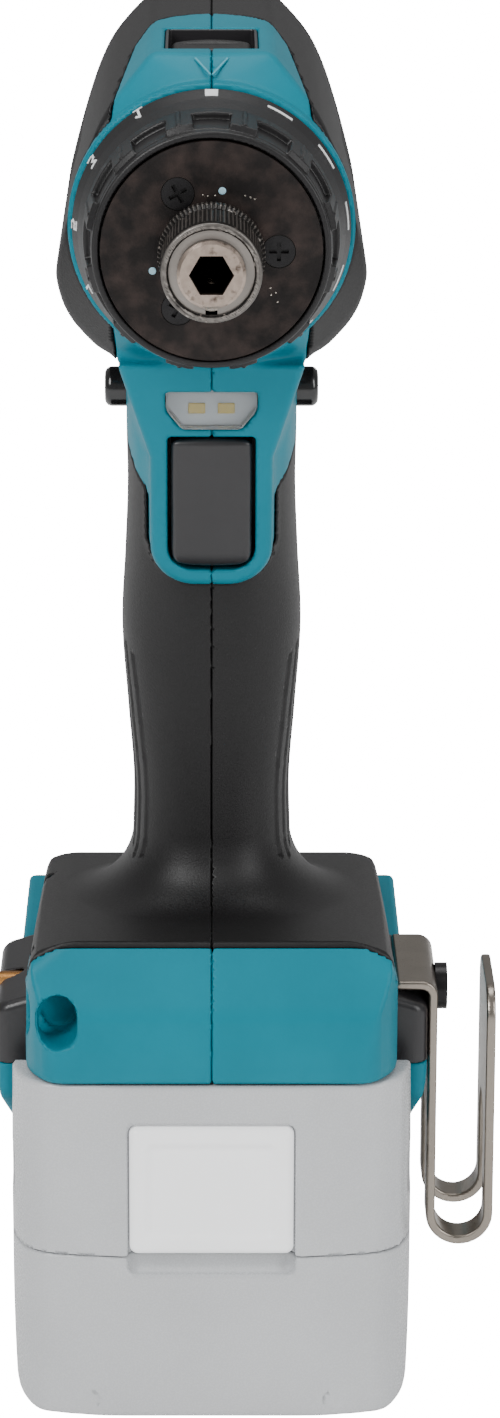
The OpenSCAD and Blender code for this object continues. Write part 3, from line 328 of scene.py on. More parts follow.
def openings_field(p, side):
    """Negative where the housing is open: barrel, trigger, lamp, lever, slider, vents."""
    x, y, z = p
    up = z - AXIS
    around = length(x, up)
    hole = cut(around - BARREL_R, np.abs(y - (FRONT - 2 + REAR - 3) / 2) - (REAR - 1 - FRONT) / 2, 0.3)
    rib = cut(np.abs(y - 10.3) - 1.4, 8.2 - around, 0.2)
    hole = cut(hole, -rib, 0.3)
    trigger_mouth = cut(length(np.maximum(np.abs(x) - 3.4, 0),
                               np.maximum(TRIGGER_LOW[2] + 4 - z, 0)) - 4.4 + 0 * z,
                        np.maximum(z - TRIGGER_HIGH[2] - 0.35, y + 12), 0.6)
    hole = join(hole, trigger_mouth, 0.2)
    slot = block(p, (-SLOT_HALF, SELECTOR_LOW[1] - 1.1, AXIS + 15),
                 (SLOT_HALF, SELECTOR_LOW[1] + SLOT_RUN, BODY_HIGH[2] + 9), 1.2)
    pocket = block(p, (-4.6, SELECTOR_LOW[1] - 0.4, AXIS + 15),
                   (4.6, SELECTOR_HIGH[1] + 8, AXIS + 24.2), 0.4)
    hole = np.minimum(np.minimum(hole, slot), pocket)
    lever = length(y - (LEVER_LOW[1] + LEVER_HIGH[1]) / 2, z - (LEVER_LOW[2] + LEVER_HIGH[2]) / 2)
    hole = np.minimum(hole, lever - LEVER_HOLE_R + 0 * x)
    lamp = lamp_field(p, 0.12)
    hole = np.minimum(hole, cut(lamp, y + 25, 0.2))
    wide = np.abs(x)
    for k in range(4):
        low = 16.2 + 5 * k
        hole = np.minimum(hole, block((wide, y, z), (12, low, AXIS - 14), (60, low + 2, AXIS + 4), 0.9))
    for k in range(3):
        low = AXIS - 12 + 7 * k
        hole = np.minimum(hole, block((wide, y, z), (12, 37.4, low), (60, 42, low + 3), 0.9))
    hole = np.minimum(hole, length(y - INSERT_Y, z - INSERT_Z) - INSERT_R + 0 * x + 1e3 * (wide < 29))
    floor = block(p, (-13.8, 17.7, BASE - 4), (13.8, 43.3, BASE + 5), 0.2)
    hole = np.minimum(hole, floor)
    if side < 0:
        rise = np.maximum(np.abs(z - LANYARD_Z) - LANYARD_RISE, 0)
        hole = np.minimum(hole, cut(length(x - LANYARD_X, rise) - LANYARD_R, y - LANYARD_Y - 3.6, 0.5))
        hole = np.minimum(hole, cut(length(y - LANYARD_Y, rise) - LANYARD_R, x - LANYARD_X - 1.8, 0.5))
        for spot, depth in zip(SCREW_SPOTS, SCREW_FACES):
            run = length(y - spot[0], z - spot[1]) - SCREW_WELL_R
            hole = np.minimum(hole, cut(run, x - depth - 2, 0.3))
    return hole


def lamp_field(p, grow):
    x, y, z = p
    middle = (LENS_LOW[2] + LENS_HIGH[2]) / 2
    half = (LENS_HIGH[2] - LENS_LOW[2]) / 2
    shape = outline(x, z - middle, mirrored([(5.2, -half), (8, 0), (8, half)]), 0.5)
    return shape - grow + 0 * y


SCREW_SPOTS = [(12, 118.05), (-27, AXIS - 25.4), (30, AXIS - 24.9), (-39, BASE + 16.5), (24, BASE + 8.2)]
SCREW_FACES = [-11.5, -11.5, -14, -23, -26]


def cavity_field(p):
    x, y, z = p
    inner = cut(cut(body_field(p) + WALL, BASE + 3 - z, 1), z - AXIS + 22, 1)
    for spot in SCREW_SPOTS:
        inner = cut(inner, SCREW_POST_R - length(y - spot[0], z - spot[1]) + 0 * x, 0.5)
    boss = block(p, (-50, -80, BASE), (-20, -38.5, BASE + 17), 0.5)
    return cut(inner, -boss, 0.5)


def grip_grooves(p):
    x, y, z = p
    depth = 0.45
    run = np.abs(np.mod(y + 8.5 + 1.75, 3.5) - 1.75)
    near = np.maximum(np.abs(y + 5) - 4.5, np.abs(z - 112) - 21 + 0.4 * np.abs(y + 5))
    return np.maximum(run - 0.42, near) + 0 * x, depth


def housing_field(side, seam=True):
    def field(p):
        x = p[0]
        outer = body_field(p)
        teal = cut(outer, soft_region(p) + 0.07, 0.35)
        teal = join(teal, outer + SKIN + 0.1, 0.15)
        teal = np.minimum(teal, skirt_field(p))
        teal = cut(teal, 0.12 - boss_field(p), 0.3)
        teal = cut(teal, -cavity_field(p), 0.4)
        teal = cut(teal, -openings_field(p, side), 0.45)
        return cut(teal, -side * x, 0.1) if seam else teal
    return field


def overmould_field(side, seam=True):
    def field(p):
        x = p[0]
        outer = body_field(p)
        groove, depth = grip_grooves(p)
        outer = outer + depth * np.clip(1 - np.maximum(groove, 0) / 0.35, 0, 1)
        soft = cut(outer, 0.07 - soft_region(p), 0.4)
        soft = cut(soft, -(body_field(p) + SKIN), 0.15)
        soft = cut(soft, 0.15 - boss_field(p), 0.3)
        soft = cut(soft, -openings_field(p, side), 0.5)
        return cut(soft, -side * x, 0.1) if seam else soft
    return field


# ---------------------------------------------------------------- finishes
def srgb(*values):
    """Linear colour from 0-255 screen values."""
    return tuple((v / 255 / 12.92 if v / 255 <= 0.04045 else ((v / 255 + 0.055) / 1.055) ** 2.4)
                 for v in values) + (1.0,)


def finish(name, colour, rough, metal=0.0, grain=0.3, bump=0.1, mottle=0.12, patch=12.0, coat=0.0,
           brushed=None, spots=None, worn=None, deep=None, shine=0.5):
    """Node material. Sizes are in millimetres: grain is the fine texture, patch the slow variation."""
    material = bpy.data.materials.new(name)
    material.use_nodes = True
    nodes, links = material.node_tree.nodes, material.node_tree.links
    shader = nodes["Principled BSDF"]
    shader.inputs["Metallic"].default_value = metal
    shader.inputs["Coat Weight"].default_value = coat
    shader.inputs["Coat Roughness"].default_value = 0.12
    shader.inputs["Specular IOR Level"].default_value = shine
    place = nodes.new("ShaderNodeTexCoord").outputs["Object"]
    if brushed is not None:
        stretch = nodes.new("ShaderNodeMapping")
        stretch.inputs["Scale"].default_value = brushed
        links.new(place, stretch.inputs["Vector"])
        place = stretch.outputs["Vector"]

    def noise(size, detail):
        texture = nodes.new("ShaderNodeTexNoise")
        texture.inputs["Scale"].default_value = 1 / (size * MM)
        texture.inputs["Detail"].default_value = detail
        links.new(place, texture.inputs["Vector"])
        return texture.outputs["Fac"]

    def ramp(source, low, high, first, second):
        node = nodes.new("ShaderNodeValToRGB")
        node.color_ramp.elements[0].position = low
        node.color_ramp.elements[1].position = high
        node.color_ramp.elements[0].color = first
        node.color_ramp.elements[1].color = second
        links.new(source, node.inputs["Fac"])
        return node.outputs["Color"]

    slow, fine = noise(patch, 3), noise(grain, 2)
    dark = tuple(c * (1 - mottle) for c in colour[:3]) + (1,)
    pale = tuple(min(1, c * (1 + mottle)) for c in colour[:3]) + (1,)
    tint = ramp(slow, 0.3, 0.7, dark, pale)
    if spots is not None:
        other, size, low, high = spots
        mix = nodes.new("ShaderNodeMix")
        mix.data_type = "RGBA"
        mask = ramp(noise(size, 4), low, high, (0, 0, 0, 1), (1, 1, 1, 1))
        links.new(mask, mix.inputs["Factor"])
        links.new(tint, mix.inputs["A"])
        mix.inputs["B"].default_value = other
        tint = mix.outputs["Result"]
    if worn is not None:
        edge = nodes.new("ShaderNodeNewGeometry").outputs["Pointiness"]
        mask = ramp(edge, 0.51, 0.56, (0, 0, 0, 1), (1, 1, 1, 1))
        mix = nodes.new("ShaderNodeMix")
        mix.data_type = "RGBA"
        links.new(mask, mix.inputs["Factor"])
        links.new(tint, mix.inputs["A"])
        mix.inputs["B"].default_value = worn
        tint = mix.outputs["Result"]
    # Where deep is given, the colour darkens towards near-black between those two Y depths: painted shade
    # inside a hollow.
    if deep is not None:
        split = nodes.new("ShaderNodeSeparateXYZ")
        links.new(nodes.new("ShaderNodeTexCoord").outputs["Object"], split.inputs["Vector"])
        fade = nodes.new("ShaderNodeMapRange")
        fade.inputs["From Min"].default_value = deep[0] * MM
        fade.inputs["From Max"].default_value = deep[1] * MM
        links.new(split.outputs["Y"], fade.inputs["Value"])
        mix = nodes.new("ShaderNodeMix")
        mix.data_type = "RGBA"
        links.new(fade.outputs["Result"], mix.inputs["Factor"])
        links.new(tint, mix.inputs["A"])
        mix.inputs["B"].default_value = srgb(14, 12, 11)
        tint = mix.outputs["Result"]
    links.new(tint, shader.inputs["Base Color"])
    spread = nodes.new("ShaderNodeMapRange")
    spread.inputs["To Min"].default_value = max(0.02, rough - 0.07)
    spread.inputs["To Max"].default_value = min(1, rough + 0.07)
    links.new(fine, spread.inputs["Value"])
    links.new(spread.outputs["Result"], shader.inputs["Roughness"])
    relief = nodes.new("ShaderNodeBump")
    relief.inputs["Strength"].default_value = bump
    relief.inputs["Distance"].default_value = grain * MM * 0.5
    links.new(fine, relief.inputs["Height"])
    links.new(relief.outputs["Normal"], shader.inputs["Normal"])
    return material


TEAL = finish("teal_plastic", srgb(0, 116, 134), 0.42, grain=0.35, bump=0.12, mottle=0.06, patch=18,
              shine=0.16)
# Paler teal for the drive arrow's raised strokes: painted highlight standing in for light on their edges.
TEAL_PAINTED_HIGHLIGHT = finish("teal_painted_highlight", srgb(40, 140, 158), 0.4, grain=0.2, bump=0.1, mottle=0.05, patch=2)
RUBBER = finish("black_rubber", srgb(13, 12, 13), 0.5, grain=0.4, bump=0.25, mottle=0.14, patch=9,
                shine=0.4)
SATIN = finish("satin_black", srgb(34, 33, 35), 0.34, grain=0.3, bump=0.1, mottle=0.1)
GLOSS = finish("gloss_black", srgb(22, 22, 23), 0.18, grain=0.5, bump=0.03, mottle=0.08, coat=0.3)
DIAL = finish("dial_black", srgb(22, 21, 22), 0.4, grain=0.3, bump=0.14, mottle=0.12, patch=6, shine=0.4)
PALE = finish("pale_pack", srgb(190, 192, 194), 0.27, grain=0.35, bump=0.1, mottle=0.04, patch=20)
BUTTON = finish("white_button_painted_glow", srgb(247, 248, 249), 0.32, grain=0.3, bump=0.08, mottle=0.02)
# Emission makes the release button glow brighter than white: painted light, the button is no lamp.
button_painted_glow = BUTTON.node_tree.nodes["Principled BSDF"]
button_painted_glow.inputs["Emission Color"].default_value = (1, 1, 1, 1)
button_painted_glow.inputs["Emission Strength"].default_value = 0.35
WHITE = finish("white_marks", srgb(226, 228, 228), 0.5, grain=0.2, bump=0.1, mottle=0.05, patch=2)
PLATE = finish("dark_plate", srgb(27, 23, 22), 0.46, metal=0.6, grain=0.4, bump=0.14, mottle=0.3, patch=3.2,
               spots=(srgb(66, 54, 50), 4, 0.42, 0.85))
SLEEVE = finish("dark_steel", srgb(24, 22, 21), 0.34, metal=0.5, grain=0.3, bump=0.2, mottle=0.25,
                patch=1.6, spots=(srgb(150, 140, 132), 0.7, 0.64, 0.72),
                worn=srgb(150, 144, 138))
# The tip's colour darkens from just inside its hex socket inwards: painted shade in the socket.
TIP = finish("worn_tip_painted_socket_shade", srgb(176, 160, 148), 0.3, metal=1.0, grain=0.25, bump=0.15, mottle=0.14, patch=1.4,
             deep=(TIP_LOW[1] + 0.3, TIP_LOW[1] + 2.6), spots=(srgb(96, 84, 76), 1.2, 0.55, 0.75))
STEEL = finish("bright_steel", srgb(186, 178, 168), 0.27, metal=1.0, grain=0.25, bump=0.1, mottle=0.1,
               patch=3)
NICKEL = finish("warm_nickel", srgb(150, 142, 132), 0.3, metal=1.0, grain=0.3, bump=0.08, mottle=0.08,
                patch=7, brushed=(1, 1, 0.2))
SCREW = finish("black_screw", srgb(34, 33, 34), 0.3, metal=0.6, grain=0.25, bump=0.1, mottle=0.15, patch=2)
GEARS = finish("gear_steel", srgb(140, 138, 134), 0.34, metal=1.0, grain=0.3, bump=0.12, mottle=0.1, patch=3)
CAST = finish("cast_metal", srgb(150, 152, 154), 0.5, metal=0.9, grain=0.6, bump=0.3, mottle=0.1, patch=5)
BRONZE = finish("bronze", srgb(168, 120, 70), 0.4, metal=1.0, grain=0.4, bump=0.15, mottle=0.12, patch=3)
COPPER = finish("copper_wire", srgb(176, 96, 52), 0.34, metal=1.0, grain=0.5, bump=0.4, mottle=0.15, patch=2,
                brushed=(1, 0.2, 1))
LAMINATE = finish("laminations", srgb(120, 121, 124), 0.45, metal=0.8, grain=0.35, bump=0.5, mottle=0.1,
                  patch=2, brushed=(0.1, 1, 0.1))
MAGNET = finish("magnets", srgb(88, 88, 92), 0.4, metal=0.7, grain=0.4, bump=0.1, mottle=0.1)
BOARD = finish("green_board", srgb(18, 84, 58), 0.36, grain=0.5, bump=0.2, mottle=0.15, patch=3,
               spots=(srgb(150, 140, 70), 1.2, 0.62, 0.66))
LAMP = finish("white_board", srgb(216, 219, 222), 0.4, grain=0.3, bump=0.1, mottle=0.04)
CHIP = finish("yellow_chip", srgb(222, 190, 60), 0.3, grain=0.3, bump=0.1, mottle=0.08, patch=1)
POTTING = finish("potting", srgb(40, 44, 48), 0.42, grain=0.8, bump=0.2, mottle=0.12)
WRAP = finish("cell_wrap", srgb(70, 120, 150), 0.3, grain=0.6, bump=0.08, mottle=0.1)
BLUE = finish("pale_blue_dot", srgb(150, 190, 205), 0.4, grain=0.2, bump=0.1, mottle=0.1, patch=1)
GLASS = finish("clear_lens", srgb(228, 232, 234), 0.08, grain=0.4, bump=0.03, mottle=0.02)
GLASS.node_tree.nodes["Principled BSDF"].inputs["Transmission Weight"].default_value = 0.92
GLASS.node_tree.nodes["Principled BSDF"].inputs["IOR"].default_value = 1.45


def dress(piece, material, body="tool", replaces=()):
    piece.data.materials.clear()
    piece.data.materials.append(material)
    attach(piece, body)
    if replaces:
        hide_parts(*replaces)
    return piece


# ---------------------------------------------------------------- housing and rubber
STEP = 0.7
for side, word in ((1, "left"), (-1, "right")):
    wide = (0, BODY_HIGH[0] + 0.5) if side > 0 else (-BODY_HIGH[0] - 0.5, 0)
    low = (wide[0], BODY_LOW[1] - 1, PACK_TOP_LOW[2] + 15)
    high = (wide[1], BODY_HIGH[1] + 1, BODY_HIGH[2] + 1)
    dress(grown("housing_%s_shell" % word, housing_field(side), low, high, STEP,
                housing_field(side, False)), TEAL,
          replaces=["housing_" + word])
    low = (wide[0], BODY_LOW[1] - 1, BASE + 4)
    dress(grown("rubber_%s_shell" % word, overmould_field(side), low, high, STEP,
                overmould_field(side, False)), RUBBER,
          replaces=["overmold_" + word])
    print("grown", word, flush=True)


# ---------------------------------------------------------------- side bosses, with their teal inlays
def side_boss(side, sign):
    """Black boss for sign 1, the teal inlay at its lower front for sign -1."""
    def field(p):
        x, y, z = p
        body = cut(boss_field(p), 0.03 - side * x, 0.1)
        pack_room = block((np.abs(x), y, z), (0, -90, 0), (PACK_HIGH[0] + 0.3, 90, PACK_STEP + 0.4), 0.3)
        body = cut(body, -pack_room, 0.3)
        body = cut(body, INSERT_R + 0.1 - length(y - INSERT_Y, z - INSERT_Z) + 0 * x, 0.5)
        return cut(body, sign * (inlay_outline(p) - 0.05 * sign) * -1, 0.2)
    return field


def inlay_outline(p):
    x, y, z = p
    return outline(y, z, [(-45, BASE - 3), (-45, BASE - 16), (-30, BASE - 16), (-23, BASE - 3)], 1) + 0 * x


PACK_STEP = PACK_TOP_HIGH[2] - 17
for side, word in ((1, "left"), (-1, "right")):
    edges = sorted((side * 27, side * (BODY_HIGH[0] + 0.3)))
    low, high = (edges[0], -41, BASE - 19), (edges[1], 4, BASE + 16)
    dress(grown("side_boss_%s" % word, side_boss(side, 1), low, high, 0.45), SATIN)
    dress(grown("side_inlay_%s" % word, side_boss(side, -1), low, high, 0.45), TEAL)


# ---------------------------------------------------------------- torque ring and its marks
RING_LENGTH = RING_HIGH[1] - RING_LOW[1]
RING_PROFILE = [(0, 20.15), (2, 20.3), (2.8, 21.3), (RING_LENGTH * 0.62, 22.0), (RING_LENGTH * 0.8, 22.9),
                (RING_LENGTH - 0.8, 23.95)]
BORE = 19.0
GRIPS = 12


def ring_radius(y):
    back = np.array([q[0] for q in RING_PROFILE]) + RING_LOW[1]
    return np.interp(y, back, [q[1] for q in RING_PROFILE])


def ring_field(p):
    x, y, z = p
    up = z - AXIS
    r = length(x, up)
    turn = np.arctan2(up, x)
    outer = r - ring_radius(y)
    back = y - RING_LOW[1]
    step = 2 * np.pi / GRIPS
    swing = (np.mod(turn + step / 2, step) - step / 2) * 21.5
    floor = 20.35 + 0.02 * back - r
    pocket = cut(cut(np.abs(swing) - 3.0 - 0.04 * back, back - 9.5, 0.5), 1.9 - back, 0.4)
    outer = cut(outer, -cut(pocket, floor, 0.3), 0.3)
    rib = cut(cut(np.abs(np.abs(swing) - step * 10.75) - 0.35, back - 12, 0.2), 3 - back, 0.2)
    outer = join(outer, cut(rib, r - ring_radius(y) - 0.28, 0.15), 0.2)
    body = cut(cut(outer, -back, 0.4), back - RING_LENGTH, 0.4)
    body = cut(body, BORE - r, 0.25)
    lip = cut(cut(r - BORE - 0.4, 16.6 - r, 0.2), np.abs(back - 2.6) - 0.5, 0.2)
    keys = cut(cut(r - BORE - 0.4, 16.9 - r, 0.2), np.abs(up) - 2, 0.2)
    keys = cut(keys, np.abs(back - RING_LENGTH / 2 - 0.8) - RING_LENGTH / 2 + 2.4, 0.2)
    return np.minimum(np.minimum(body, lip), keys)


dress(grown("torque_ring_grip", ring_field, RING_LOW - 0.5, RING_HIGH + 0.5, 0.34), DIAL,
      "ring", ["torque_ring"])

DIGITS = {"1": [[(-0.35, 0.6), (0.1, 1), (0.1, -1)], [(-0.45, -1), (0.6, -1)]],
          "3": [[(-0.5, 1), (0.5, 1), (0, 0.2), (0.45, -0.1), (0.5, -0.6), (0.1, -1), (-0.5, -0.8)]],
          "5": [[(0.5, 1), (-0.4, 1), (-0.45, 0.15), (0.2, 0.25), (0.5, -0.3), (0.2, -0.95), (-0.5, -0.9)]],
          "7": [[(-0.5, 1), (0.5, 1), (-0.1, -1)]],
          "9": [[(0.5, 0.3), (-0.1, 0), (-0.5, 0.5), (0, 1), (0.5, 0.6), (0.4, -0.4), (-0.1, -1)]],
          "-": [[(-2.1, 0), (2.1, 0)]]}


def ring_mark(points, faces, degrees, lines, width, scale=1.25, off=0.0):
    """Adds thin raised strokes on the ring's rear band, at an angle from the top, clockwise from the
    front."""
    for line in lines:
        for (u0, v0), (u1, v1) in zip(line, line[1:]):
            run = np.array([u1 - u0, v1 - v0]) * scale
            size = np.linalg.norm(run)
            along, across = run / size, np.array([-run[1], run[0]]) / size
            parts = max(1, int(size / 0.6))
            start = len(points)
            for i in range(parts + 1):
                at = np.array([u0, v0]) * scale - along * width * 0.4
                at = at + along * (size + width * 0.8) * i / parts
                for edge in (-1, 1):
                    for lift in (0.02, 0.13):
                        u, v = at + across * edge * width / 2
                        y = RING_LOW[1] + RING_LENGTH - 2.1 - off - v
                        r = ring_radius(y) + lift
                        turn = math.radians(degrees) + u / 23.2
                        points.append((r * math.sin(turn), y, AXIS + r * math.cos(turn)))
            for i in range(parts):
                a = start + 4 * i
                faces += [(a, a + 4, a + 5, a + 1), (a + 1, a + 5, a + 7, a + 3),
                          (a + 3, a + 7, a + 6, a + 2), (a + 2, a + 6, a + 4, a)]
            end = start + 4 * parts
            faces += [(start, start + 1, start + 3, start + 2), (end, end + 2, end + 3, end + 1)]


points, faces = [], []
for k, label in enumerate("13579"):
    ring_mark(points, faces, -32 - 28 * k, DIGITS[label], 0.42, 1.4)
for k in range(6):
    ring_mark(points, faces, 30 + 27 * k, DIGITS["-"], 0.5, 1.05, 0.5)
for level in np.linspace(-0.9, 0.9, 5):
    ring_mark(points, faces, 0, [[(-1.0, level), (1.0, level)]], 0.34, 0.95)
dress(mesh_object("ring_numbers", points, faces, False), WHITE, "ring", ["ring_marks"])


# ---------------------------------------------------------------- bit holder sleeve
def sleeve_field(p):
    x, y, z = p
    up = z - AXIS
    r, back = length(x, up), y - SLEEVE_LOW[1]
    span = SLEEVE_HIGH[1] - SLEEVE_LOW[1]
    turn = np.arctan2(up, x)
    knurl = 0.1 * np.cos(72 * turn) * np.clip((back - 1.6) / 0.5, 0, 1)
    outer = r - 8.5 - 0.6 * np.clip((back - span + 3) / 1.2, 0, 1) + 0.1 - knurl * 0.6
    face = cut(r - 7.35, 6.9 - r, 0.1)
    body = cut(cut(outer, -back, 0.5), back - span, 0.35)
    body = cut(body, -cut(face, back - 0.35, 0.1), 0.1)
    return cut(body, 7.1 - r, 0.2)


dress(grown("release_sleeve", sleeve_field, SLEEVE_LOW - 0.4, SLEEVE_HIGH + 0.4, 0.2), SLEEVE,
      "sleeve", ["chuck_sleeve"])


# ---------------------------------------------------------------- trigger, lever, lamp
def trigger_field(p):
    x, y, z = p
    low, top = TRIGGER_LOW[2], TRIGGER_HIGH[2]
    half = TRIGGER_HIGH[0]
    front = outline(y, z, [(-19, low), (-26.5, low), (-28.5, low + 1.5), (-31.5, low + 9), (-34.5, top - 5),
                           (-35.9, top - 0.6), (-35.4, top), (-19, top)], 1.6)
    front = front + 0.012 * x**2
    corner = length(np.maximum(np.abs(x) - half + 4, 0), np.maximum(low + 4 - z, 0)) - 4 + 0 * y
    body = cut(cut(front, np.abs(x) - half, 1.5), corner, 0.8)
    body = cut(body, -block(p, (2 - half, -24, low + 2), (half - 2, -12, top - 2), 0.5), 0.4)
    rod = length(x, z - (low + top) / 2) - 3
    rod = cut(cut(rod, -25 - y, 0.3), y - TRIGGER_HIGH[1] + 0.1, 0.4)
    return np.minimum(body, rod)


dress(grown("trigger_face", trigger_field, TRIGGER_LOW - 0.5, TRIGGER_HIGH + 0.5, 0.4), SATIN,
      "trigger", ["trigger"])


def lever_field(p):
    x, y, z = p
    r = (LEVER_HIGH[2] - LEVER_LOW[2]) / 2
    rod = length(y - (LEVER_LOW[1] + LEVER_HIGH[1]) / 2, z - (LEVER_LOW[2] + LEVER_HIGH[2]) / 2) - r
    return cut(rod, np.abs(x) - LEVER_HIGH[0], 1.3)


dress(grown("direction_rod", lever_field, LEVER_LOW - 0.5, LEVER_HIGH + 0.5, 0.4), GLOSS,
      "lever", ["direction_lever"])


def lens_field(p):
    y = p[1]
    middle, half = (LENS_LOW[1] + LENS_HIGH[1]) / 2, (LENS_HIGH[1] - LENS_LOW[1]) / 2
    return cut(lamp_field(p, 0), np.abs(y - middle) - half, 0.35)


def tray_field(p):
    y = p[1]
    back = LENS_HIGH[1] + 0.1
    return cut(lamp_field(p, -0.25), np.abs(y - back - 0.9) - 0.8, 0.2)


dress(grown("lamp_lens", lens_field, LENS_LOW - 0.3, LENS_HIGH + 0.3, 0.25), GLASS,
      replaces=["led_lens"])
dress(grown("lamp_tray", tray_field, LENS_LOW - 0.3, LENS_HIGH + (0.3, 2.4, 0.3), 0.25), LAMP,
      replaces=["led_board"])
lens_z = (LENS_LOW[2] + LENS_HIGH[2]) / 2


def chip_field(p):
    x, y, z = p
    spot = (np.abs(x) - 2.6, y, z)
    return block(spot, (-1.5, LENS_HIGH[1] - 0.35, lens_z - 1.1),
                 (1.5, LENS_HIGH[1] + 0.3, lens_z + 0.8), 0.15)


dress(grown("lamp_chips", chip_field, (-4.6, LENS_HIGH[1] - 0.6, lens_z - 1.6),
            (4.6, LENS_HIGH[1] + 0.6, lens_z + 1.4), 0.2), CHIP)


# ---------------------------------------------------------------- hook
def hook_field(p):
    x, y, z = p
    t = 1.7
    inner_x, outer_x = HOOK_LOW[0] + 5.2 + t / 2, HOOK_HIGH[0] - t / 2
    bend_z = HOOK_LOW[2] + (outer_x - inner_x) / 2 + t / 2
    top, tip_z = HOOK_HIGH[2] - t / 2, HOOK_HIGH[2] - t - 0.6
    middle = (inner_x + outer_x) / 2
    inner = length(x - inner_x, np.maximum(np.maximum(bend_z - z, z - top + 2), 0))
    outer = length(x - outer_x, np.maximum(np.maximum(bend_z - z, z - tip_z - t), 0))
    bend = length(np.abs(length(x - middle, z - bend_z) - (outer_x - inner_x) / 2), np.maximum(z - bend_z, 0))
    elbow = length(np.abs(length(x - inner_x + 2, z - top + 2) - 2),
                   np.maximum(top - 2 - z, 0), np.maximum(inner_x - 2 - x, 0))
    tab = length(z - top, np.maximum(np.maximum(HOOK_LOW[0] - x, x - inner_x + 2), 0))
    strip = np.minimum(np.minimum(np.minimum(inner, outer), np.minimum(bend, elbow)), tab) - t / 2
    half = (HOOK_HIGH[1] - HOOK_LOW[1]) / 2
    across = np.abs(y - (HOOK_LOW[1] + HOOK_HIGH[1]) / 2)
    corner = 6
    tip = length(np.maximum(across - half + corner, 0), np.maximum(z - tip_z + corner, 0)) - corner
    tip = np.where(x > middle, tip, -corner)
    body = cut(cut(strip, across - half, 0.45), tip + 0 * x, 0.45)
    slot = length(np.maximum(z - HOOK_LOW[2] - 19, 0), across) - half / 2
    body = cut(body, -cut(slot, HOOK_LOW[0] + 4 - x, 0.3), 0.4)
    hole = length(y - INSERT_Y, z - INSERT_Z) - 2.1
    return cut(body, -cut(hole, x - inner_x - 3, 0.2), 0.2)


dress(grown("belt_hook", hook_field, HOOK_LOW - 0.5, HOOK_HIGH + 0.5, 0.36), NICKEL,
      replaces=["hook"])


# ---------------------------------------------------------------- battery pack
PACK_PLAN = [(23, -56.4), (32.6, -53.6), (36.6, -46.5), (37.45, -36), (37.45, 50), (33, 56.4)]
PACK_SIDE = [(33.4, 0), (36.0, 2.4), (37.35, 18), (37.45, 45), (36.4, 66)]
PART = PACK_HIGH[2]
WALL_PACK = 2.2
RAIL = 25


def pack_outer(p, inset=0):
    x, y, z = p
    plan = outline(x, y, mirrored(PACK_PLAN), 2.5)
    side = outline(x, z, mirrored(PACK_SIDE), 1.5)
    return cut(plan + 0 * z, side + 0 * y, 1.4) + inset


def button_recess(p):
    low = (BUTTON_LOW[0] - 0.3, -70, BUTTON_LOW[2] - 4.3)
    return block(p, low, (BUTTON_HIGH[0] + 0.3, BUTTON_HIGH[1] + 0.3, BUTTON_HIGH[2] + 0.3), 1.6)


def case_top_field(p):
    x, y, z = p
    wide = np.abs(x)
    outer = pack_outer(p)
    body = cut(outer, z - PACK_STEP, 1.2)
    front = cut(cut(outer, z - PACK_TOP_HIGH[2], 0.8), y + 42, 0.8)
    body = np.minimum(body, front)
    hollow = np.minimum(cut(outer + WALL_PACK, z - PACK_STEP + WALL_PACK, 0.5),
                        cut(cut(outer + WALL_PACK, z - PACK_TOP_HIGH[2] + WALL_PACK, 0.5), y + 44.2, 0.5))
    rail = block(p, (-RAIL, -44, PACK_STEP - 1.4), (RAIL, 48, PACK_TOP_HIGH[2] - 0.4), 0.6)
    body = np.minimum(body, rail)
    hollow = np.minimum(hollow, block(p, (-19.5, -41, 20), (19.5, 2.6, PACK_TOP_HIGH[2] - 2.6), 0.6))
    body = cut(body, -hollow, 0.4)
    wall = block(p, (-17, -54.8, PART - 4), (17, -52.1, BUTTON_HIGH[2] + 2), 0.3)
    body = np.minimum(body, wall)
    groove = block((wide, y, z), (22.1, -42, 52.1), (27, 60, 56.5), 0.3)
    body = cut(body, -groove, 0.3)
    body = cut(body, -block(p, (-14.5, 5, 51.6), (14.5, 60, 70), 0.3), 0.3)
    pocket = cut(outline(y, z, [(-47, 40), (-47, 49), (-39, 49), (-34, 40)], 1.2), 35.8 - wide, 0.5)
    body = cut(body, -pocket, 0.5)
    body = cut(body, -button_recess(p), 0.5)
    return cut(body, PART + 0.04 - z, 0.3)


def case_bottom_field(p):
    x, y, z = p
    wide = np.abs(x)
    outer = pack_outer(p)
    notch = plane((wide, y, z), (33.6, -53, 1.8), (0.7, -0.25, -0.7))
    outer = cut(outer, notch, 0.8)
    hollow = cut(outer + WALL_PACK, WALL_PACK - z, 0.8)
    body = cut(cut(outer, -hollow, 0.3), -z, 0.8)
    body = np.minimum(body, block(p, (-17, -54.8, PART - 10), (17, -52.1, PART), 0.3))
    body = cut(body, -button_recess(p), 0.5)
    dimple = length(wide - 22, z - 3.6) - 1.7
    body = cut(body, -cut(dimple, y + 55.6, 0.15), 0.3)
    step = block((wide, y, z), (35.9, -34, 22), (60, 40, 27), 1.4)
    body = cut(body, -step, 0.8)
    foot = block((wide, y, z), (10, -46, -2), (28, 46, 0.6), 0.5)
    body = cut(body, -foot, 0.4)
    return cut(body, z - PART + 0.04, 0.3)


PACK_STEP_SIZE = 0.8
dress(grown("pack_upper_case", case_top_field, PACK_TOP_LOW - 1, PACK_TOP_HIGH + 1, PACK_STEP_SIZE), PALE,
      "pack", ["pack_case_top"])
dress(grown("pack_lower_case", case_bottom_field, PACK_LOW - 1, PACK_HIGH + 1, PACK_STEP_SIZE), PALE,
      "pack", ["pack_case_bottom"])


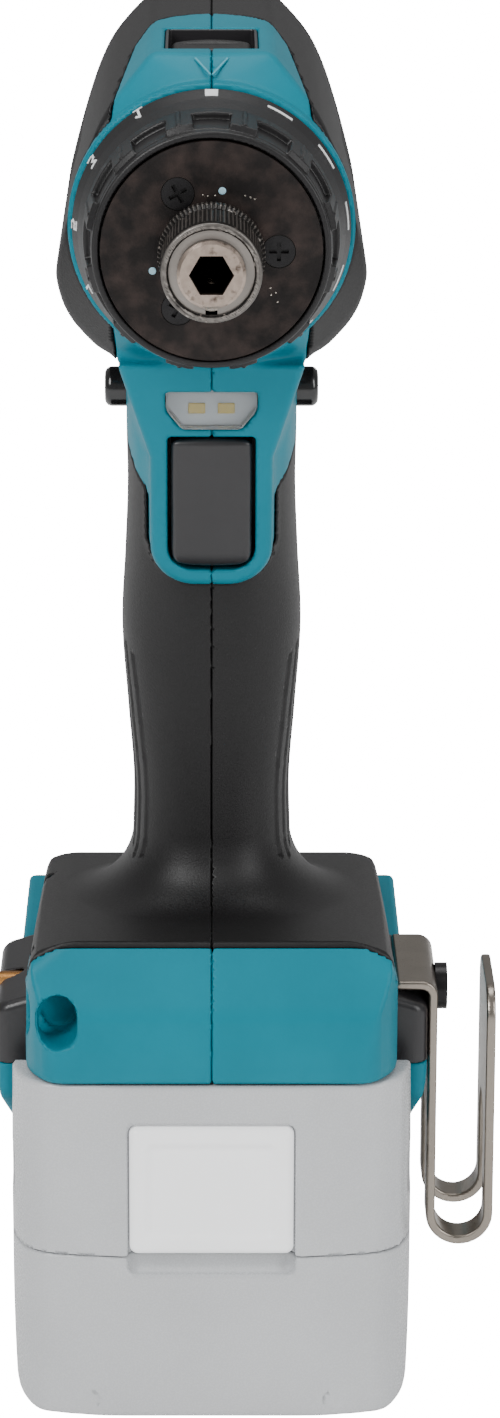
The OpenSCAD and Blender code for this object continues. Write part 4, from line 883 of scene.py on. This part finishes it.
def button_field(p):
    body = block(p, BUTTON_LOW, BUTTON_HIGH, 1.5)
    dish = block(p, (BUTTON_LOW[0] + 2.6, BUTTON_LOW[1] - 9, BUTTON_LOW[2] + 2.6),
                 (BUTTON_HIGH[0] - 2.6, BUTTON_LOW[1] + 0.8, BUTTON_HIGH[2] - 2.6), 2.2)
    return cut(body, -dish, 0.4)


dress(grown("pack_release_button", button_field, BUTTON_LOW - 0.4, BUTTON_HIGH + 0.4, 0.35), BUTTON,
      "pack_button", ["release_button"])


# ---------------------------------------------------------------- speed selector and the arrow before it
def selector_field(p):
    x, y, z = p
    low, high = SELECTOR_LOW, SELECTOR_HIGH
    top = high[2]
    wide = np.abs(x)
    crown = z - top + 0.008 * (y - low[1] - 6.8) ** 2 + 0.012 * x**2
    body = cut(cut(wide - high[0], np.abs(y - low[1] - 6.8) - 6.8, 1.6), crown, 1.0)
    body = cut(body, AXIS + 22 - z, 0.5)
    scoop = cut(np.abs(y - low[1] - 6.8) - 3.6, top - 0.6 - z, 0.5)
    body = cut(body, -cut(scoop, wide - 5.4, 0.6), 0.5)
    arm = block(p, (-3.6, low[1] + 1, AXIS + 21.8), (3.6, high[1], AXIS + 23.8), 0.3)
    pin = block(p, (-3.5, high[1] - 3, low[2]), (3.5, high[1], AXIS + 22.4), 0.2)
    return np.minimum(np.minimum(body, arm), pin)


dress(grown("speed_slider", selector_field, SELECTOR_LOW - 0.5, SELECTOR_HIGH + 0.5, 0.4), RUBBER,
      "speed", ["speed_selector"])


def slot_painted_shade_liner(p):
    """Black lining on the walls of the slot that the slider moves in: painted shade in the slot."""
    front = SELECTOR_LOW[1]
    rim = block(p, (-8.15, front - 1.05, AXIS + 22), (8.15, front + 20.75, BODY_HIGH[2] - 0.15), 0.5)
    return cut(rim, -block(p, (-7.5, front - 0.45, 0), (7.5, front + 20.15, BODY_HIGH[2] + 9), 0.6), 0.15)


# The black lining stands in for shade on the slot walls.
dress(grown("slider_slot_painted_shade", slot_painted_shade_liner, (-8.6, SELECTOR_LOW[1] - 1.5, AXIS + 21.5),
            (8.6, SELECTOR_LOW[1] + 21.2, BODY_HIGH[2] + 0.2), 0.3), SATIN)


def ramp_strip(points, faces, start, end, width=0.34):
    """Thin raised line on the sloping front of the head, between two points seen from above."""
    a, b = np.array(start, dtype=float), np.array(end, dtype=float)
    side = np.array([-(b - a)[1], (b - a)[0]]) / np.linalg.norm(b - a) * width / 2
    first = len(points)
    for spot in (a + side, a - side, b - side, b + side):
        for lift in (-0.15, 0.1):
            points.append((spot[0], spot[1], AXIS + RAMP_START + RAMP_SLOPE * (spot[1] - FRONT) + lift))
    for q in ((1, 3, 5, 7), (6, 4, 2, 0), (0, 2, 3, 1), (2, 4, 5, 3), (4, 6, 7, 5), (6, 0, 1, 7)):
        faces.append([first + i for i in q])


points, faces = [], []
for side in (-1, 1):
    ramp_strip(points, faces, (side * 2.8, FRONT + 7.4), (side * 0.2, FRONT + 2.6))
# The arrow's paler teal is painted highlight.
dress(mesh_object("drive_arrow", points, faces, False), TEAL_PAINTED_HIGHLIGHT)


# ---------------------------------------------------------------- plate dots
def dot_mesh(name, spots, radius, front, material):
    points, faces = [], []
    for x, z in spots:
        start = len(points)
        for level, reach in ((0, radius), (-0.06, radius * 0.92), (-0.08, radius * 0.6)):
            for k in range(16):
                turn = k * math.pi / 8
                points.append((x + reach * math.cos(turn), front + level,
                               AXIS + z + reach * math.sin(turn)))
        for ring in range(2):
            for k in range(16):
                a, b = start + ring * 16 + k, start + ring * 16 + (k + 1) % 16
                faces.append((a, b, b + 16, a + 16))
        faces.append([start + 32 + k for k in range(16)])
        faces.append([start + 15 - k for k in range(16)])
    return dress(mesh_object(name, points, faces), material)


dot_mesh("plate_dots", [(1.8, 10.3), (-9.9, -3.3)], 0.65, PLATE_LOW[1] + 0.01, BLUE)
dot_mesh("plate_punches", [(-1.4, 9.6), (-0.6, 9.4), (0.6, 9.5), (5.6, 9.5), (6.5, 9.2), (7.2, 8.9),
                           (9.9, -6.2), (10.8, -7.0), (10.0, -7.4), (11.1, -8.6)], 0.16, PLATE_LOW[1] + 0.01,
         STEEL)


# ---------------------------------------------------------------- finishes on the carried-over CAD nodes
CARRIED = {
    "nose_plate": PLATE, "nose_screws": SCREW, "hook_screw": SCREW, "housing_screws": SCREW, "spindle": TIP,
    "bit_retainer": SLEEVE, "chuck_balls": STEEL, "sleeve_spring": STEEL, "clutch_spring": STEEL,
    "speed_selector": RUBBER, "clutch_nut": DIAL, "gear_case": CAST, "gear_case_cover": CAST,
    "ring_gear_1": GEARS, "ring_gear_2": GEARS, "ring_gear_3": GEARS, "carrier_1": GEARS, "carrier_2": GEARS,
    "insert_left": BRONZE, "insert_right": BRONZE, "spindle_bush": BRONZE, "spindle_bearing": STEEL,
    "motor_bearings": STEEL, "stator_core": LAMINATE, "stator_coils": COPPER, "sensor_board": BOARD,
    "rotor_shaft": STEEL, "rotor_magnets": MAGNET, "fan": DIAL, "switch_body": SATIN, "controller": POTTING,
    "terminal_block": SATIN, "terminal_blades": BRONZE, "pack_contacts": BRONZE, "cells": WRAP,
    "pack_board": BOARD}
SOFT_EDGES = ["nose_plate", "nose_screws", "hook_screw", "spindle", "speed_selector", "housing_screws",
              "clutch_nut", "fan"]
for name, piece in NODES.items():
    piece.data.materials.clear()
    piece.data.materials.append(CARRIED.get(name, GEARS))
    if name in SOFT_EDGES:
        bevel = piece.modifiers.new("soft_edge", "BEVEL")
        bevel.width = 0.15 * MM
        bevel.segments = 2
        bevel.limit_method = "ANGLE"


# ---------------------------------------------------------------- floor, light and camera
def area_light(name, place, target, size, power, colour=(1, 1, 1)):
    data = bpy.data.lights.new(name, "AREA")
    data.shape = "RECTANGLE"
    data.size, data.size_y = size
    data.energy = power
    data.color = colour
    lamp = bpy.data.objects.new(name, data)
    bpy.context.scene.collection.objects.link(lamp)
    lamp.location = place
    lamp.rotation_euler = (Vector(target) - Vector(place)).to_track_quat("-Z", "Y").to_euler()
    return lamp


FLOOR_SEEN, FLOOR_CAST = 16.0, 0.1
ROOM_LIGHT = 0.36
CAMERA_PLACE = (0, -0.84784, 0.38404)
CAMERA_TILT = math.radians(90 - 17.403)
CAMERA_LENS, CAMERA_SHIFT = 120.92, 0.02715

floor_mesh = bpy.data.meshes.new("floor")
floor_mesh.from_pydata([(-8, -6, 0), (8, -6, 0), (8, 20, 0), (-8, 20, 0)], [], [(0, 1, 2, 3)])
floor = bpy.data.objects.new("floor", floor_mesh)
bpy.context.scene.collection.objects.link(floor)
pale_floor = finish("pale_floor", srgb(250, 250, 250), 0.9, grain=3, bump=0.02, mottle=0.004, patch=300)
glow = pale_floor.node_tree.nodes["Principled BSDF"]
glow.inputs["Emission Color"].default_value = (1, 1, 1, 1)
sight = pale_floor.node_tree.nodes.new("ShaderNodeLightPath")
strength = pale_floor.node_tree.nodes.new("ShaderNodeMapRange")
strength.inputs["To Min"].default_value = FLOOR_CAST
strength.inputs["To Max"].default_value = FLOOR_SEEN
pale_floor.node_tree.links.new(sight.outputs["Is Camera Ray"], strength.inputs["Value"])
pale_floor.node_tree.links.new(strength.outputs["Result"], glow.inputs["Emission Strength"])
floor_mesh.materials.append(pale_floor)

area_light("key", (-0.7, -0.9, 1.05), (0, 0, 0.14), (0.6, 0.8), 17)
area_light("fill", (0.95, -0.8, 0.7), (0, 0, 0.13), (0.5, 0.9), 9)
area_light("top", (0, 0.3, 1.3), (0, 0, 0.15), (0.9, 0.6), 7)

world = bpy.data.worlds.new("soft_room")
world.use_nodes = True
world.node_tree.nodes["Background"].inputs["Color"].default_value = (1, 1, 1, 1)
world.node_tree.nodes["Background"].inputs["Strength"].default_value = ROOM_LIGHT
bpy.context.scene.world = world

data = bpy.data.cameras.new("camera")
data.lens = CAMERA_LENS
data.sensor_width = 36
data.shift_x = CAMERA_SHIFT
camera = bpy.data.objects.new("camera", data)
bpy.context.scene.collection.objects.link(camera)
camera.location = CAMERA_PLACE
camera.rotation_euler = (CAMERA_TILT, 0, 0)
bpy.context.scene.camera = camera
